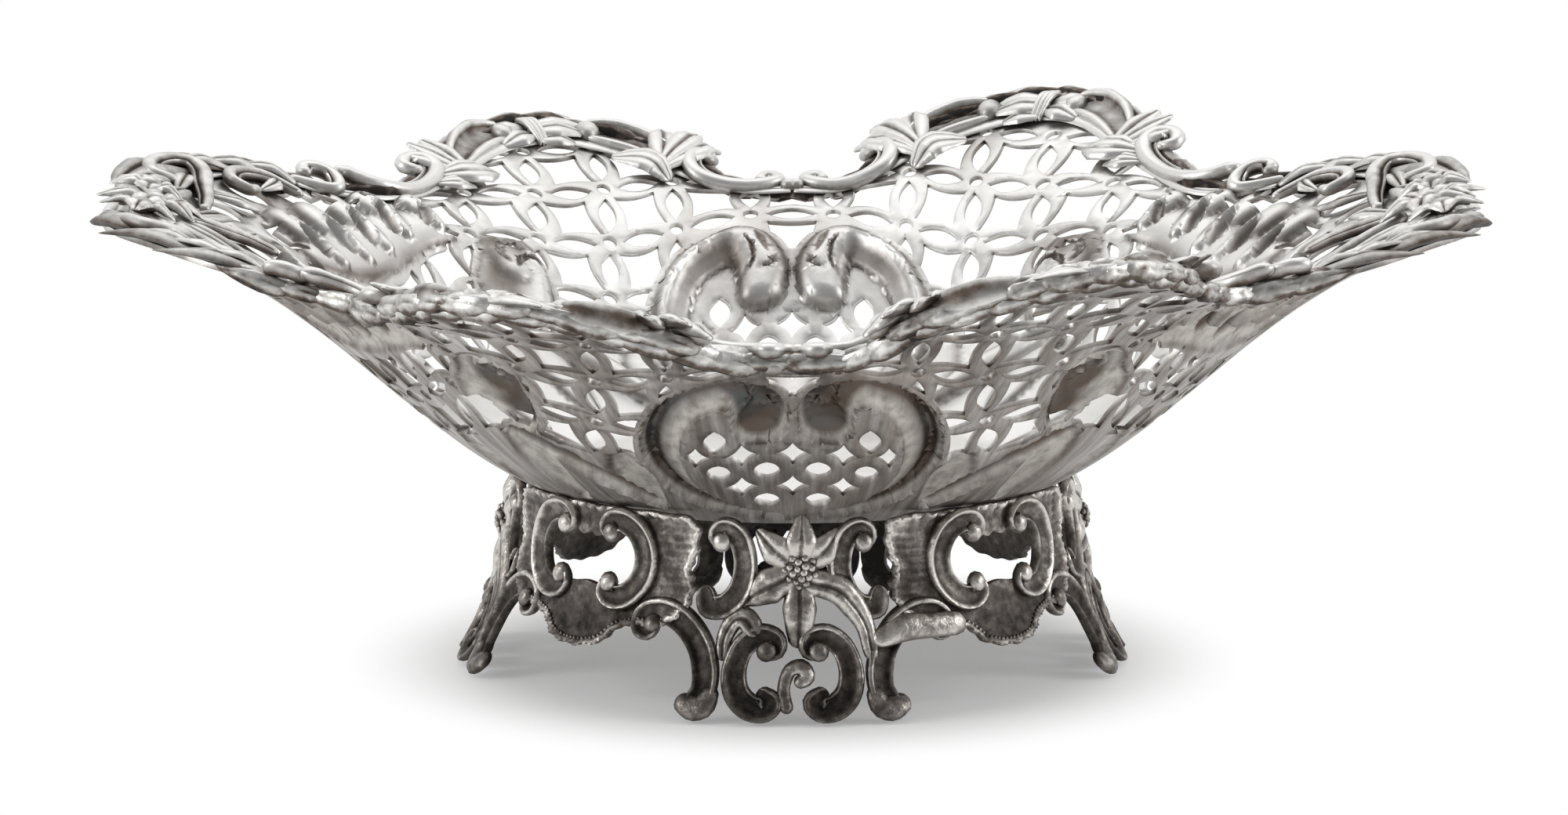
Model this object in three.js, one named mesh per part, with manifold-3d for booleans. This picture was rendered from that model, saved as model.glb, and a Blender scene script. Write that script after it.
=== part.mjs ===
import * as THREE from 'three';
import * as BufferGeometryUtils from 'three/addons/utils/BufferGeometryUtils.js';
import Module from 'manifold-3d';

// A small oval sweetmeat basket of silver: one raised and pierced sheet, edged with cast borders,
// on a ring of four cast legs and four cast panels. Millimetres, +Z up, long axis along X,
// the origin on the table under the middle of the foot.

const wasm = await Module();
wasm.setup();

// Overall form
const halfLength = 100;
const halfWidth = 82.5;
const floorHeight = 27;
const wallRise = 40;
const sheetThickness = 0.9;
const solderGap = 0.3;

// Rings that the wall is lofted through, from the flat floor out to the rim
const floorHalfLength = 37;
const floorHalfWidth = 35.5;
const bellyHalfLength = 58;
const bellyHalfWidth = 54;
const bellyRise = 9;
const neckHalfLength = 70;
const neckHalfWidth = 60;
const neckRise = 30;
const neckFollowShare = 0.35;

// One quarter of the rim, from the middle of a side to the tip of an end: shares of halfLength,
// halfWidth and wallRise, the last two for the left end and for the right one, which is bent a
// little higher. The sheet's edge lies rimDrop under this line, and the borders bring it up again.
const rimShares = [
  [0, 0.909, 0.775, 0.775],
  [0.09, 0.921, 0.78, 0.79],
  [0.2, 0.982, 0.863, 0.938],
  [0.37, 1, 0.963, 1.063],
  [0.49, 0.909, 0.95, 1.063],
  [0.575, 0.691, 0.863, 0.938],
  [0.62, 0.57, 0.863, 0.888],
  [0.71, 0.533, 0.9, 0.913],
  [0.82, 0.497, 0.975, 0.975],
  [0.91, 0.394, 1.013, 1.013],
  [0.975, 0.242, 1.013, 1.013],
  [1, 0, 0.975, 0.975],
];
const rimDrop = 1.8;
const rimAngleLengthShare = 0.98;
const rimAngleWidthShare = 0.945;
const rimSampleCount = 704;
const rimEdgeCount = 104;
const borderOverhang = 1.4;

// Pierced lattice of the sides: rows of interlaced rings that run round the wall
const latticePitch = 11.8;
const latticeTopRow = 61.8;
const latticeRowPitch = 11;
const latticeRows = 5;
const latticeColumns = 6;
const lensLength = 7.3;
const lensWidth = 3.3;
const lensShares = [[-0.5, 0], [-0.2, -0.46], [0.2, -0.46], [0.5, 0], [0.2, 0.46], [-0.2, 0.46]];
const ringOpening = 7;
const squareShares = [[-0.5, -0.5], [0.5, -0.5], [0.5, 0.5], [-0.5, 0.5]];
const strap = 1.1;
const smallestOpening = 6.5;
const plainRise = 19;

// Long openings of the two ends, in rows that fan out towards the tip
const endRowRises = [57, 66.5];
const endOpeningAngle = 8.4;
const endOpenings = 4;
const endOpeningLength = 8;
const endOpeningWidth = 4.8;

// Heart-shaped cartouche of two facing scrolls, with a trellis pierced in it
const cartoucheHalfWidth = 21.5;
const cartoucheHeight = 36;
const cartoucheFoot = 1.2;
const cartoucheBandWidth = 6.2;
const cartoucheBandShares = [[0.04, 0.03], [0.38, 0.08], [0.68, 0.21], [0.85, 0.4], [0.87, 0.6],
  [0.74, 0.78], [0.5, 0.86]];
const cartoucheBandWidthShares = [0.2, 0.42, 0.7, 0.9, 1, 1, 0.95];
const cartoucheHeadWidth = 7.6;
const cartoucheHeadShares = [[0.46, 0.84], [0.28, 0.79], [0.23, 0.7], [0.23, 0.63]];
const cartoucheHeadWidthShares = [0.6, 0.95, 1, 0.9];
const cartoucheRelief = 2.35;
const trellisPitch = 6.8;
const trellisRowPitch = 3.6;
const trellisOpening = 3.2;
const trellisRows = 4;
const trellisTop = 18.1;
const dropShares = [0.5, 0.57];
const dropLength = 5;
const dropWidth = 3.2;

// Comma-shaped scroll on each side of a cartouche: place along the wall, then its own size
const commaAlong = 46.7;
const commaRise = 19;
const commaWidth = 12;
const commaHeight = 20;
const commaScrollWidth = 12;
const commaRelief = 2.4;
const commaShares = [[-0.25, 0.86], [-0.12, 0.62], [0.1, 0.4], [0.22, 0.26]];
const commaWidthShares = [0.7, 0.9, 1, 0.85];

// Shell at the neck of each end: flutes round it and a husk that points to the tip
const shellFluteAngles = [48, 54, 60, 66.5];
const shellRise = 39;
const shellLength = 12.5;
const shellFluteWidth = 5;
const shellRelief = 1.5;
const shellWidthShares = [0.5, 0.9, 1, 0.8];
const huskAngle = 81;
const huskRise = 33;
const huskLength = 24;
const huskWidth = 6;
const huskWidthShares = [0.5, 1, 0.9, 0.3];

// Long leaf flutes that rise from the floor between the cartouches
const fluteAngles = [26, 43, 60, 78];
const fluteRise = 5;
const fluteLength = 14;
const fluteWidth = 7;
const fluteRelief = 1;
const fluteWidthShares = [0.2, 0.7, 1, 0.5];

// Fineness of the bowl's facets
const reliefSpacing = 3.6;
const floorSides = 24;

// Ring foot: a flaring wall of revolution that the castings are bent to
const footTopRadius = 39;
const footFlare = 8;
const footWallRadius = 43;
const castingThickness = 2.4;
const castingEdge = 1.1;
const castingClearance = 0.75;
const castingDetail = 1.45;
const strokeStep = 4.5;
const slackShare = 0.2;
const offEdgeShare = 0.02;
const flipPasses = 60;

// Crests of the castings' strokes, in shares of the height that a scroll stands above its edge
const scrollCrestShare = 1;
const toeCrestShare = 1.15;
const petalCrestShare = 0.8;
const domeCrestShare = 1.6;
const curlCrestShare = 0.9;
const leafCrestShare = 0.85;
const bandCrestShare = 0.7;
const stemCrestShare = 0.5;

// Underside of the bowl where the foot meets it
const seatReach = 62;
const seatSides = 36;
const seatRingShares = [0.85, 0.7, 0.6];

// Leg casting, in shares of legHalfSpan and floorHeight: a flower over scrolls that end in toes
const legHalfSpan = 25;
const legScrollShare = 0.124;
const upperScrollShares = [[0.39, 0.96], [0.28, 0.93], [0.24, 0.81], [0.29, 0.67], [0.42, 0.555], [0.52, 0.6],
  [0.5, 0.67]];
const upperScrollWidthShares = [0.7, 0.85, 0.9, 0.9, 0.9, 0.8, 0.6];
const toeScrollShares = [[0.85, 0.46], [0.91, 0.5], [0.86, 0.56], [0.72, 0.55], [0.585, 0.48], [0.475, 0.35],
  [0.455, 0.2], [0.5, 0.1], [0.64, 0.01]];
const toeScrollWidthShares = [0.5, 0.75, 0.9, 0.95, 1, 1, 1, 1.05, 1];
const lowerScrollShares = [[0.05, 0.4], [0.19, 0.45], [0.335, 0.355], [0.35, 0.185], [0.215, 0.06],
  [0.09, 0.1], [0.105, 0.17]];
const lowerScrollWidthShares = [0.8, 0.8, 0.85, 0.85, 0.85, 0.75, 0.6];
const curlShares = [[-0.45, 0.355], [-0.416, 0.467], [-0.32, 0.55], [-0.235, 0.52], [-0.27, 0.47]];
const curlWidthShares = [0.6, 0.7, 0.8, 0.75, 0.5];
const stemShares = [[0.1, 0.72], [0.3, 0.66], [0.4, 0.54], [0.46, 0.38]];
const stemWidthShares = [0.7, 1, 0.75, 0.6];
const budShares = [[-0.09, 0.09], [-0.05, 0.2], [0.01, 0.3], [0.085, 0.28], [0.075, 0.21]];
const budWidthShares = [0.5, 0.5, 0.55, 0.55, 0.45];
const flowerShares = [0.02, 0.775];
const petalTipShares = [[0.03, 1.04], [-0.21, 0.97], [0.25, 0.965], [-0.26, 0.63], [0.03, 0.42]];
const petalWidthShares = [0.5, 1.1, 1, 0.4];
const domeWidthShares = [0.6, 1.2, 0.6];
const domeSpanShare = 0.06;

// Panel casting, in shares of panelHalfSpan and floorHeight: a framed opening over a pendant shield
const panelHalfSpan = 20;
const panelScrollWidth = 2.9;
const panelOutlineShares = [[0, 0.31], [0.23, 0.34], [0.36, 0.42], [0.52, 0.45], [0.72, 0.46], [0.88, 0.535],
  [0.98, 0.66], [0.92, 0.755], [0.99, 0.865], [0.94, 1.02], [0.5, 1.04], [0, 1.04]];
const panelOpeningShares = [[0, 0.652], [0.2, 0.622], [0.44, 0.652], [0.52, 0.8], [0.44, 0.926], [0.22, 0.93],
  [0.08, 0.896], [0, 0.911]];
const panelScrollShares = [[0.17, 0.9], [0.26, 0.975], [0.46, 0.96], [0.6, 0.83], [0.56, 0.66], [0.38, 0.565],
  [0.21, 0.61], [0.24, 0.67]];
const panelScrollWidthShares = [0.6, 0.85, 0.95, 1, 1, 0.95, 0.8, 0.6];

// Cast borders on the rim: places along the rim in shares of the casting's length, and inward
// from its outer edge in shares of borderWidth. The end castings fill what the side ones leave.
const sideBorderLength = 99;
const borderWidth = 6;
const borderScrollWidth = 3;
const sideBandShares = [[0, 0.42], [0.08, 0.5], [0.15, 0.4], [0.22, 0.46], [0.28, 0.4], [0.36, 0.46],
  [0.42, 0.4], [0.5, 0.46], [0.56, 0.4], [0.64, 0.46], [0.7, 0.4], [0.78, 0.48], [0.88, 0.42],
  [0.94, 0.5], [1, 0.4]];
const sideBandWidthShares = [0.4, 0.62, 0.5, 0.9, 0.7, 0.9, 0.75, 0.9, 0.7, 0.95, 0.5, 0.62, 0.5, 0.8, 0.3];
const sideScrollShares = [
  [[0.035, 0.05], [0.02, 0.5], [0.07, 0.8], [0.13, 0.5], [0.16, 0.1], [0.15, -0.02]],
  [[0.69, 0], [0.68, 0.3], [0.73, 0.75], [0.82, 0.8], [0.9, 0.4], [0.91, 0]],
];
const sideLeafShares = [
  [[0.15, 0.4], [0.2, 0.95], [0.26, 1.7]],
  [[0.14, 0.5], [0.145, 0.2], [0.15, -0.1]],
  [[0.68, 0.4], [0.63, 0.95], [0.57, 1.6]],
  [[0.685, 0.5], [0.68, 0.2], [0.67, -0.1]],
];
const leafWidthShares = [0.6, 1.3, 0.3];
const scrollWidthShares = [0.7, 0.9, 1, 1, 0.9, 0.7];
const endBandShares = [[0, 0.46], [0.16, 0.4], [0.3, 0.48], [0.44, 0.4], [0.6, 0.46], [0.75, 0.42],
  [0.9, 0.5], [1.03, 0.46]];
const endBandWidthShares = [0.3, 0.95, 0.6, 0.95, 0.6, 0.95, 0.6, 0.7];
const endScrollShares = [
  [[0.5, 2.3], [0.42, 1.8], [0.5, 1.1], [0.66, 1], [0.8, 1.5], [0.82, 2.4]],
  [[0.1, 1.5], [0.14, 0.9], [0.26, 0.7], [0.36, 1.1], [0.38, 1.7], [0.33, 1.9]],
];

// Spray of flowers that lies on the border at the tip of each end
const sprayFlowerRadius = 5;
const sprayPetals = 5;
const sprayPetalWidth = 4.4;
const sprayPetalWidthShares = [0.5, 1, 0.9, 0.4];
const sprayPlaceShares = [[1, 0.98], [0.83, 0.86]];
const sprayStemShares = [[0.8, 0.86], [0.9, 0.9], [1.05, 0.94]];
const sprayStemWidthShares = [0.5, 0.6, 0.6];

const silverColour = 0xb9b6b0;
const footColour = 0x6d6a66;
const brightRoughness = 0.28;
const castRoughness = 0.45;

// Angles
const fullTurn = Math.PI * 2;
const quarterTurn = Math.PI / 2;

// Rim and wall

function quarterRim(signX, signY) {
  return rimShares.map(([along, across, left, right]) => new THREE.Vector3(
    signX * along * halfLength,
    signY * across * halfWidth,
    floorHeight - rimDrop + wallRise * (signX < 0 ? left : right),
  ));
}

function closedRim() {
  const backRight = quarterRim(1, 1);
  const frontRight = quarterRim(1, -1).reverse().slice(1);
  const frontLeft = quarterRim(-1, -1).slice(1);
  const backLeft = quarterRim(-1, 1).reverse().slice(1, -1);
  const points = [...backRight, ...frontRight, ...frontLeft, ...backLeft];
  return new THREE.CatmullRomCurve3(points, true, 'catmullrom');
}

function wallAngle(point) {
  const across = point.x / (rimAngleLengthShare * halfLength);
  const out = point.y / (rimAngleWidthShare * halfWidth);
  const angle = Math.atan2(across, out);
  return angle < 0 ? angle + fullTurn : angle;
}

function ringPoint(angle, ringHalfLength, ringHalfWidth, height) {
  return new THREE.Vector3(ringHalfLength * Math.sin(angle), ringHalfWidth * Math.cos(angle), height);
}

function wallCurve(angle, rimPoint) {
  const rimRise = rimPoint.z - floorHeight;
  const neckHeight = floorHeight + neckRise + neckFollowShare * (rimRise - neckRise);
  return new THREE.CubicBezierCurve3(
    ringPoint(angle, floorHalfLength, floorHalfWidth, floorHeight),
    ringPoint(angle, bellyHalfLength, bellyHalfWidth, floorHeight + bellyRise),
    ringPoint(angle, neckHalfLength, neckHalfWidth, neckHeight),
    rimPoint,
  );
}

function rimStations() {
  const points = closedRim().getPoints(rimSampleCount);
  let along = 0;
  return points.map((point, index) => {
    if (index > 0) along += point.distanceTo(points[index - 1]);
    const angle = index === rimSampleCount ? fullTurn : wallAngle(point);
    return { point, angle, along, rise: wallCurve(angle, point).getLength() };
  });
}

const stations = rimStations();
const floorRadius = (floorHalfLength + floorHalfWidth) / 2;
const rimLength = stations[rimSampleCount].along;

// The rim station at a given angle, or at a given distance along the rim
function stationAt(key, value) {
  let low = 0;
  let high = rimSampleCount;
  while (high - low > 1) {
    const middle = (low + high) >> 1;
    if (stations[middle][key] <= value) low = middle;
    else high = middle;
  }
  const before = stations[low];
  const after = stations[high];
  const share = (value - before[key]) / (after[key] - before[key]);
  const mix = (name) => before[name] + share * (after[name] - before[name]);
  const point = before.point.clone().lerp(after.point, share);
  return { point, angle: mix('angle'), along: mix('along'), rise: mix('rise') };
}

// The sheet is laid out flat: distance from the middle is the floor's radius and then the way up
// the wall, and direction is the angle round the basket from +Y towards +X.
function sheetPoint(x, y) {
  const radius = Math.hypot(x, y);
  const turn = Math.atan2(x, y);
  const angle = turn < 0 ? turn + fullTurn : turn;
  if (radius <= floorRadius) {
    const share = radius / floorRadius;
    return ringPoint(angle, share * floorHalfLength, share * floorHalfWidth, floorHeight);
  }
  const station = stationAt('angle', angle);
  return wallCurve(angle, station.point).getPoint((radius - floorRadius) / station.rise);
}

function sheetNormal(x, y) {
  const probe = sheetThickness / 2;
  const origin = sheetPoint(x, y);
  const alongX = sheetPoint(x + probe, y).sub(origin);
  const alongY = sheetPoint(x, y + probe).sub(origin);
  return alongX.cross(alongY).normalize();
}

function onSheet(x, y, height) {
  return sheetPoint(x, y).addScaledVector(sheetNormal(x, y), height);
}

// A place in the flat layout, from a distance along the rim and square inward from its edge
function atRim(along, inward) {
  const edge = (shift) => {
    const wrapped = (((along + shift) % rimLength) + rimLength) % rimLength;
    const station = stationAt('along', wrapped);
    const radius = floorRadius + station.rise;
    return new THREE.Vector2(radius * Math.sin(station.angle), radius * Math.cos(station.angle));
  };
  const tangent = edge(sheetThickness).sub(edge(-sheetThickness)).normalize();
  return edge(0).addScaledVector(new THREE.Vector2(tangent.y, -tangent.x), inward);
}

// Strokes: a smooth centre line with a width that changes along it

function makeStroke(points, widthShares, width, relief) {
  const curve = new THREE.SplineCurve(points);
  const steps = Math.max(points.length, Math.ceil(curve.getLength() / strokeStep));
  const centre = curve.getPoints(steps);
  const half = centre.map((_, index) => {
    const place = (index / steps) * (widthShares.length - 1);
    const low = Math.min(Math.floor(place), widthShares.length - 2);
    return (width / 2) * (widthShares[low] + (place - low) * (widthShares[low + 1] - widthShares[low]));
  });
  const side = centre.map((_, index) => {
    const tangent = curve.getTangent(index / steps);
    return new THREE.Vector2(-tangent.y, tangent.x);
  });
  return { centre, half, side, relief };
}

function mirrorStroke(stroke, signX, signY) {
  const flip = (point) => new THREE.Vector2(signX * point.x, signY * point.y);
  return { ...stroke, centre: stroke.centre.map(flip), side: stroke.side.map(flip) };
}

function strokeOutline(stroke, growth) {
  const edge = (sign) => stroke.centre.map((point, index) =>
    point.clone().addScaledVector(stroke.side[index], sign * (stroke.half[index] + growth)));
  return [...edge(1), ...edge(-1).reverse()];
}

function strokeHeight(stroke, x, y) {
  let best = 0;
  for (let index = 1; index < stroke.centre.length; index += 1) {
    const start = stroke.centre[index - 1];
    const end = stroke.centre[index];
    const spanX = end.x - start.x;
    const spanY = end.y - start.y;
    const along = ((x - start.x) * spanX + (y - start.y) * spanY) / (spanX * spanX + spanY * spanY);
    const share = Math.min(1, Math.max(0, along));
    const half = stroke.half[index - 1] + share * (stroke.half[index] - stroke.half[index - 1]);
    const offset = Math.hypot(x - start.x - share * spanX, y - start.y - share * spanY) / half;
    if (offset < 1) best = Math.max(best, Math.sqrt(1 - offset * offset) * stroke.relief);
  }
  return best;
}

function highest(strokes, x, y) {
  return Math.max(0, ...strokes.map((stroke) => strokeHeight(stroke, x, y)));
}

// Closed meshes and solids

function toSolid(geometry) {
  const bare = geometry.clone();
  bare.deleteAttribute('normal');
  bare.deleteAttribute('uv');
  const merged = BufferGeometryUtils.mergeVertices(bare);
  return new wasm.Manifold(new wasm.Mesh({
    numProp: 3,
    vertProperties: new Float32Array(merged.attributes.position.array),
    triVerts: new Uint32Array(merged.index.array),
  }));
}

function toGeometry(solid) {
  const mesh = solid.getMesh();
  const geometry = new THREE.BufferGeometry();
  geometry.setAttribute('position', new THREE.BufferAttribute(new Float32Array(mesh.vertProperties), 3));
  geometry.setIndex(new THREE.BufferAttribute(new Uint32Array(mesh.triVerts), 1));
  return geometry;
}

function signedVolume(points, triangles) {
  return triangles.reduce((sum, [a, b, c]) =>
    sum + points[a].dot(new THREE.Vector3().crossVectors(points[b], points[c])), 0);
}

function closedGeometry(points, triangles) {
  const outward = signedVolume(points, triangles) > 0;
  const geometry = new THREE.BufferGeometry().setFromPoints(points);
  geometry.setIndex(triangles.flatMap(([a, b, c]) => (outward ? [a, b, c] : [a, c, b])));
  return geometry;
}

function uniteAll(solids) {
  return solids.reduce((sum, solid) => sum.add(solid));
}

function flatSolid(outline) {
  const settings = { depth: sheetThickness, bevelEnabled: false };
  return toSolid(new THREE.ExtrudeGeometry(new THREE.Shape(outline), settings));
}

// The outlines on the upper face of a flat solid
function upperOutlines(solid) {
  const mesh = solid.getMesh();
  const isUpper = (vertex) => mesh.vertProperties[vertex * 3 + 2] > sheetThickness / 2;
  const next = new Map();
  for (let start = 0; start < mesh.triVerts.length; start += 3) {
    const corners = [...mesh.triVerts.slice(start, start + 3)];
    if (!corners.every(isUpper)) continue;
    corners.forEach((from, index) => {
      const to = corners[(index + 1) % 3];
      if (next.get(to)?.delete(from)) return;
      if (!next.has(from)) next.set(from, new Set());
      next.get(from).add(to);
    });
  }
  const loops = [];
  for (const [first, ends] of next) {
    while (ends.size > 0) {
      const loop = [];
      let vertex = first;
      do {
        loop.push(new THREE.Vector2(mesh.vertProperties[vertex * 3], mesh.vertProperties[vertex * 3 + 1]));
        const [to] = next.get(vertex);
        next.get(vertex).delete(to);
        vertex = to;
      } while (vertex !== first);
      loops.push(loop);
    }
  }
  return loops;
}

function withoutShortEdges(loop, shortest) {
  const spaced = loop.filter((point, index) => point.distanceTo(loop[(index + 1) % loop.length]) > shortest);
  return spaced.filter((point, index) => {
    const before = spaced[(index + spaced.length - 1) % spaced.length];
    const after = spaced[(index + 1) % spaced.length];
    const span = after.clone().sub(before);
    const slack = slackShare * shortest;
    return Math.abs(span.cross(point.clone().sub(before))) > slack * (shortest + span.length());
  });
}

// Flat triangulation of an outline with openings and loose points in it

function splitAt(points, triangles, point) {
  const home = triangles.findIndex(([a, b, c]) => new THREE.Triangle(
    new THREE.Vector3(points[a].x, points[a].y),
    new THREE.Vector3(points[b].x, points[b].y),
    new THREE.Vector3(points[c].x, points[c].y),
  ).containsPoint(new THREE.Vector3(point.x, point.y)));
  if (home < 0) return;
  const [a, b, c] = triangles[home];
  const centre = points[a].clone().add(points[b]).add(points[c]).divideScalar(3);
  const added = points.push(point.clone().lerp(centre, offEdgeShare)) - 1;
  triangles.splice(home, 1, [a, b, added], [b, c, added], [c, a, added]);
}

function turnOf(a, b, c) {
  return (b.x - a.x) * (c.y - a.y) - (b.y - a.y) * (c.x - a.x);
}

function insideCircle(a, b, c, point) {
  const rows = [a, b, c].map((corner) => {
    const x = corner.x - point.x;
    const y = corner.y - point.y;
    return [x, y, x * x + y * y];
  });
  return new THREE.Matrix3().set(...rows[0], ...rows[1], ...rows[2]).determinant() > 0;
}

// Turns the shared side of two triangles where that makes them less thin
function flipPass(points, triangles) {
  const sides = new Map();
  const touched = new Set();
  let flips = 0;
  triangles.forEach((corners, index) => corners.forEach((from, corner) => {
    sides.set(`${from},${corners[(corner + 1) % 3]}`, [index, corners[(corner + 2) % 3]]);
  }));
  for (const [side, [first, apex]] of sides) {
    const [from, to] = side.split(',').map(Number);
    const other = sides.get(`${to},${from}`);
    if (!other || touched.has(first) || touched.has(other[0])) continue;
    const opposite = other[1];
    const convex = turnOf(points[apex], points[from], points[opposite]) > 0
      && turnOf(points[opposite], points[to], points[apex]) > 0;
    if (!convex || !insideCircle(points[from], points[to], points[apex], points[opposite])) continue;
    triangles[first] = [apex, from, opposite];
    triangles[other[0]] = [opposite, to, apex];
    touched.add(first).add(other[0]);
    flips += 1;
  }
  return flips;
}

function triangulate(outline, openings, loosePoints, spacing) {
  const points = [...outline, ...openings.flat()];
  const triangles = THREE.ShapeUtils.triangulateShape(outline, openings).map((corners) =>
    (turnOf(...corners.map((corner) => points[corner])) > 0 ? corners : [...corners].reverse()));
  for (const point of loosePoints) {
    if (points.every((other) => other.distanceTo(point) > spacing)) splitAt(points, triangles, point);
  }
  for (let pass = 0; pass < flipPasses && flipPass(points, triangles) > 0;) pass += 1;
  return { points, triangles };
}

// Gives a flat triangulation its thickness: place(x, y, side) is called with side -1 and 1
function thicken({ points, triangles }, place) {
  const upper = points.map((point) => place(point.x, point.y, 1));
  const lower = points.map((point) => place(point.x, point.y, -1));
  const sides = new Set(triangles.flatMap(([a, b, c]) => [`${a},${b}`, `${b},${c}`, `${c},${a}`]));
  const walls = [...sides]
    .map((side) => side.split(',').map(Number))
    .filter(([a, b]) => !sides.has(`${b},${a}`));
  const count = points.length;
  const faces = [
    ...triangles,
    ...triangles.map(([a, b, c]) => [a + count, c + count, b + count]),
    ...walls.flatMap(([a, b]) => [[b, a, a + count], [b, a + count, b + count]]),
  ];
  return closedGeometry([...upper, ...lower], faces);
}

// The pierced and embossed bowl

function polar(angleDegrees, radius) {
  const angle = THREE.MathUtils.degToRad(angleDegrees);
  return new THREE.Vector2(radius * Math.sin(angle), radius * Math.cos(angle));
}

function allQuarters(items, mirror) {
  const signs = [[1, 1], [1, -1], [-1, 1], [-1, -1]];
  return signs.flatMap(([signX, signY]) => items.map((item) => mirror(item, signX, signY)));
}

function cartouchePlace([across, up]) {
  return new THREE.Vector2(across * cartoucheHalfWidth, floorRadius + cartoucheFoot + up * cartoucheHeight);
}

// One side of a cartouche: its scroll and the round head that the scroll ends in
function cartoucheStrokes() {
  return [
    makeStroke(cartoucheBandShares.map(cartouchePlace), cartoucheBandWidthShares, cartoucheBandWidth,
      cartoucheRelief),
    makeStroke(cartoucheHeadShares.map(cartouchePlace), cartoucheHeadWidthShares, cartoucheHeadWidth,
      cartoucheRelief),
  ];
}

function commaStroke() {
  const radius = floorRadius + commaRise + commaHeight / 2;
  const points = commaShares.map(([across, up]) => {
    const rise = floorRadius + commaRise + up * commaHeight;
    return polar(THREE.MathUtils.radToDeg((commaAlong + across * commaWidth) / radius), rise);
  });
  return makeStroke(points, commaWidthShares, commaScrollWidth, commaRelief);
}

function radialStroke(angle, rise, length, widthShares, width, relief) {
  const points = [0, 0.5, 1].map((share) => polar(angle, floorRadius + rise + share * length));
  return makeStroke(points, widthShares, width, relief);
}

function shellStrokes() {
  const flutes = shellFluteAngles.map((angle) =>
    radialStroke(angle, shellRise, shellLength, shellWidthShares, shellFluteWidth, shellRelief));
  return [...flutes, radialStroke(huskAngle, huskRise, huskLength, huskWidthShares, huskWidth, shellRelief)];
}

function fluteStrokes() {
  return fluteAngles.map((angle) =>
    radialStroke(angle, fluteRise, fluteLength, fluteWidthShares, fluteWidth, fluteRelief));
}

function reliefStrokes() {
  const strokes = [...cartoucheStrokes(), commaStroke(), ...shellStrokes(), ...fluteStrokes()];
  return allQuarters(strokes, mirrorStroke);
}

// The outline of an opening, from shares of its length along an axis and its width across it
function openingOutline(shares, centre, axis, length, width) {
  const across = new THREE.Vector2(-axis.y, axis.x);
  return shares.map(([along, side]) =>
    centre.clone().addScaledVector(axis, along * length).addScaledVector(across, side * width));
}

function centroid(outline) {
  return outline.reduce((sum, point) => sum.add(point), new THREE.Vector2()).divideScalar(outline.length);
}

// Openings between four neighbouring lattice nodes: the ring's middle and two of its lenses
function cellOpenings(node, column, row) {
  const corner = node(column, row);
  const right = node(column + 1, row);
  const above = node(column, row + 1);
  const far = node(column + 1, row + 1);
  const between = (a, b) => a.clone().add(b).divideScalar(2);
  const along = right.clone().sub(corner).normalize();
  const up = above.clone().sub(corner).normalize();
  const middle = between(between(corner, right), between(above, far));
  return [
    openingOutline(squareShares, middle, along, ringOpening, ringOpening),
    openingOutline(lensShares, between(corner, right), along, lensLength, lensWidth),
    openingOutline(lensShares, between(corner, above), up, lensLength, lensWidth),
  ];
}

function sideLattice() {
  const node = (column, row) => {
    const radius = floorRadius + latticeTopRow - latticeRowPitch * row;
    return polar(THREE.MathUtils.radToDeg(((column + 0.5) * latticePitch) / radius), radius);
  };
  const openings = [];
  for (let row = 0; row < latticeRows; row += 1) {
    for (let column = -1; column < latticeColumns; column += 1) {
      openings.push(...cellOpenings(node, column, row));
    }
  }
  const lowest = floorRadius + plainRise;
  return openings.filter((outline) => {
    const middle = centroid(outline);
    return middle.x > -solderGap && middle.length() > lowest;
  });
}

function endLattice() {
  return endRowRises.flatMap((rise, row) => Array.from({ length: endOpenings }, (_, index) => {
    const centre = polar(90 - (index + row / 2) * endOpeningAngle, floorRadius + rise);
    return openingOutline(lensShares, centre, centre.clone().normalize(), endOpeningLength, endOpeningWidth);
  }));
}

function trellisOpenings() {
  const openings = [];
  const diagonal = new THREE.Vector2(1, 1).normalize();
  for (let row = 0; row < trellisRows; row += 1) {
    const radius = floorRadius + trellisTop - row * trellisRowPitch;
    for (let column = 0; column <= 2 - row / 2; column += 1) {
      const centre = new THREE.Vector2((column + (row % 2) / 2) * trellisPitch, radius);
      openings.push(openingOutline(squareShares, centre, diagonal, trellisOpening, trellisOpening));
    }
  }
  const upright = new THREE.Vector2(0, 1);
  openings.push(openingOutline(lensShares, cartouchePlace(dropShares), upright, dropLength, dropWidth));
  return openings;
}

function cartoucheField() {
  const right = cartoucheBandShares.map(cartouchePlace);
  const left = right.map((point) => new THREE.Vector2(-point.x, point.y)).reverse();
  return [...right, ...left];
}

function mirrorOutline(outline, signX, signY) {
  return outline.map((point) => new THREE.Vector2(signX * point.x, signY * point.y));
}

function rimOutline(inward, count) {
  return Array.from({ length: count }, (_, index) => atRim((index / count) * rimLength, inward)).reverse();
}

// Each opening is cut back where it meets the rim, a scroll or the cartouche
function pierceOutlines() {
  const scrolls = reliefStrokes().map((stroke) => flatSolid(strokeOutline(stroke, strap)));
  const fields = [1, -1].map((signY) => flatSolid(mirrorOutline(cartoucheField(), 1, signY)));
  const inside = flatSolid(rimOutline(borderOverhang + strap, rimEdgeCount));
  const keepOut = uniteAll(scrolls);
  const lattice = uniteAll(allQuarters([...sideLattice(), ...endLattice()], mirrorOutline).map(flatSolid));
  const trellis = uniteAll(allQuarters(trellisOpenings(), mirrorOutline).map(flatSolid));
  const cut = lattice.subtract(uniteAll(fields)).add(trellis).subtract(keepOut).intersect(inside);
  return upperOutlines(cut)
    .map((loop) => withoutShortEdges(loop, strap / 2))
    .filter((loop) => loop.length > 2 && Math.abs(THREE.ShapeUtils.area(loop)) > smallestOpening);
}

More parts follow.
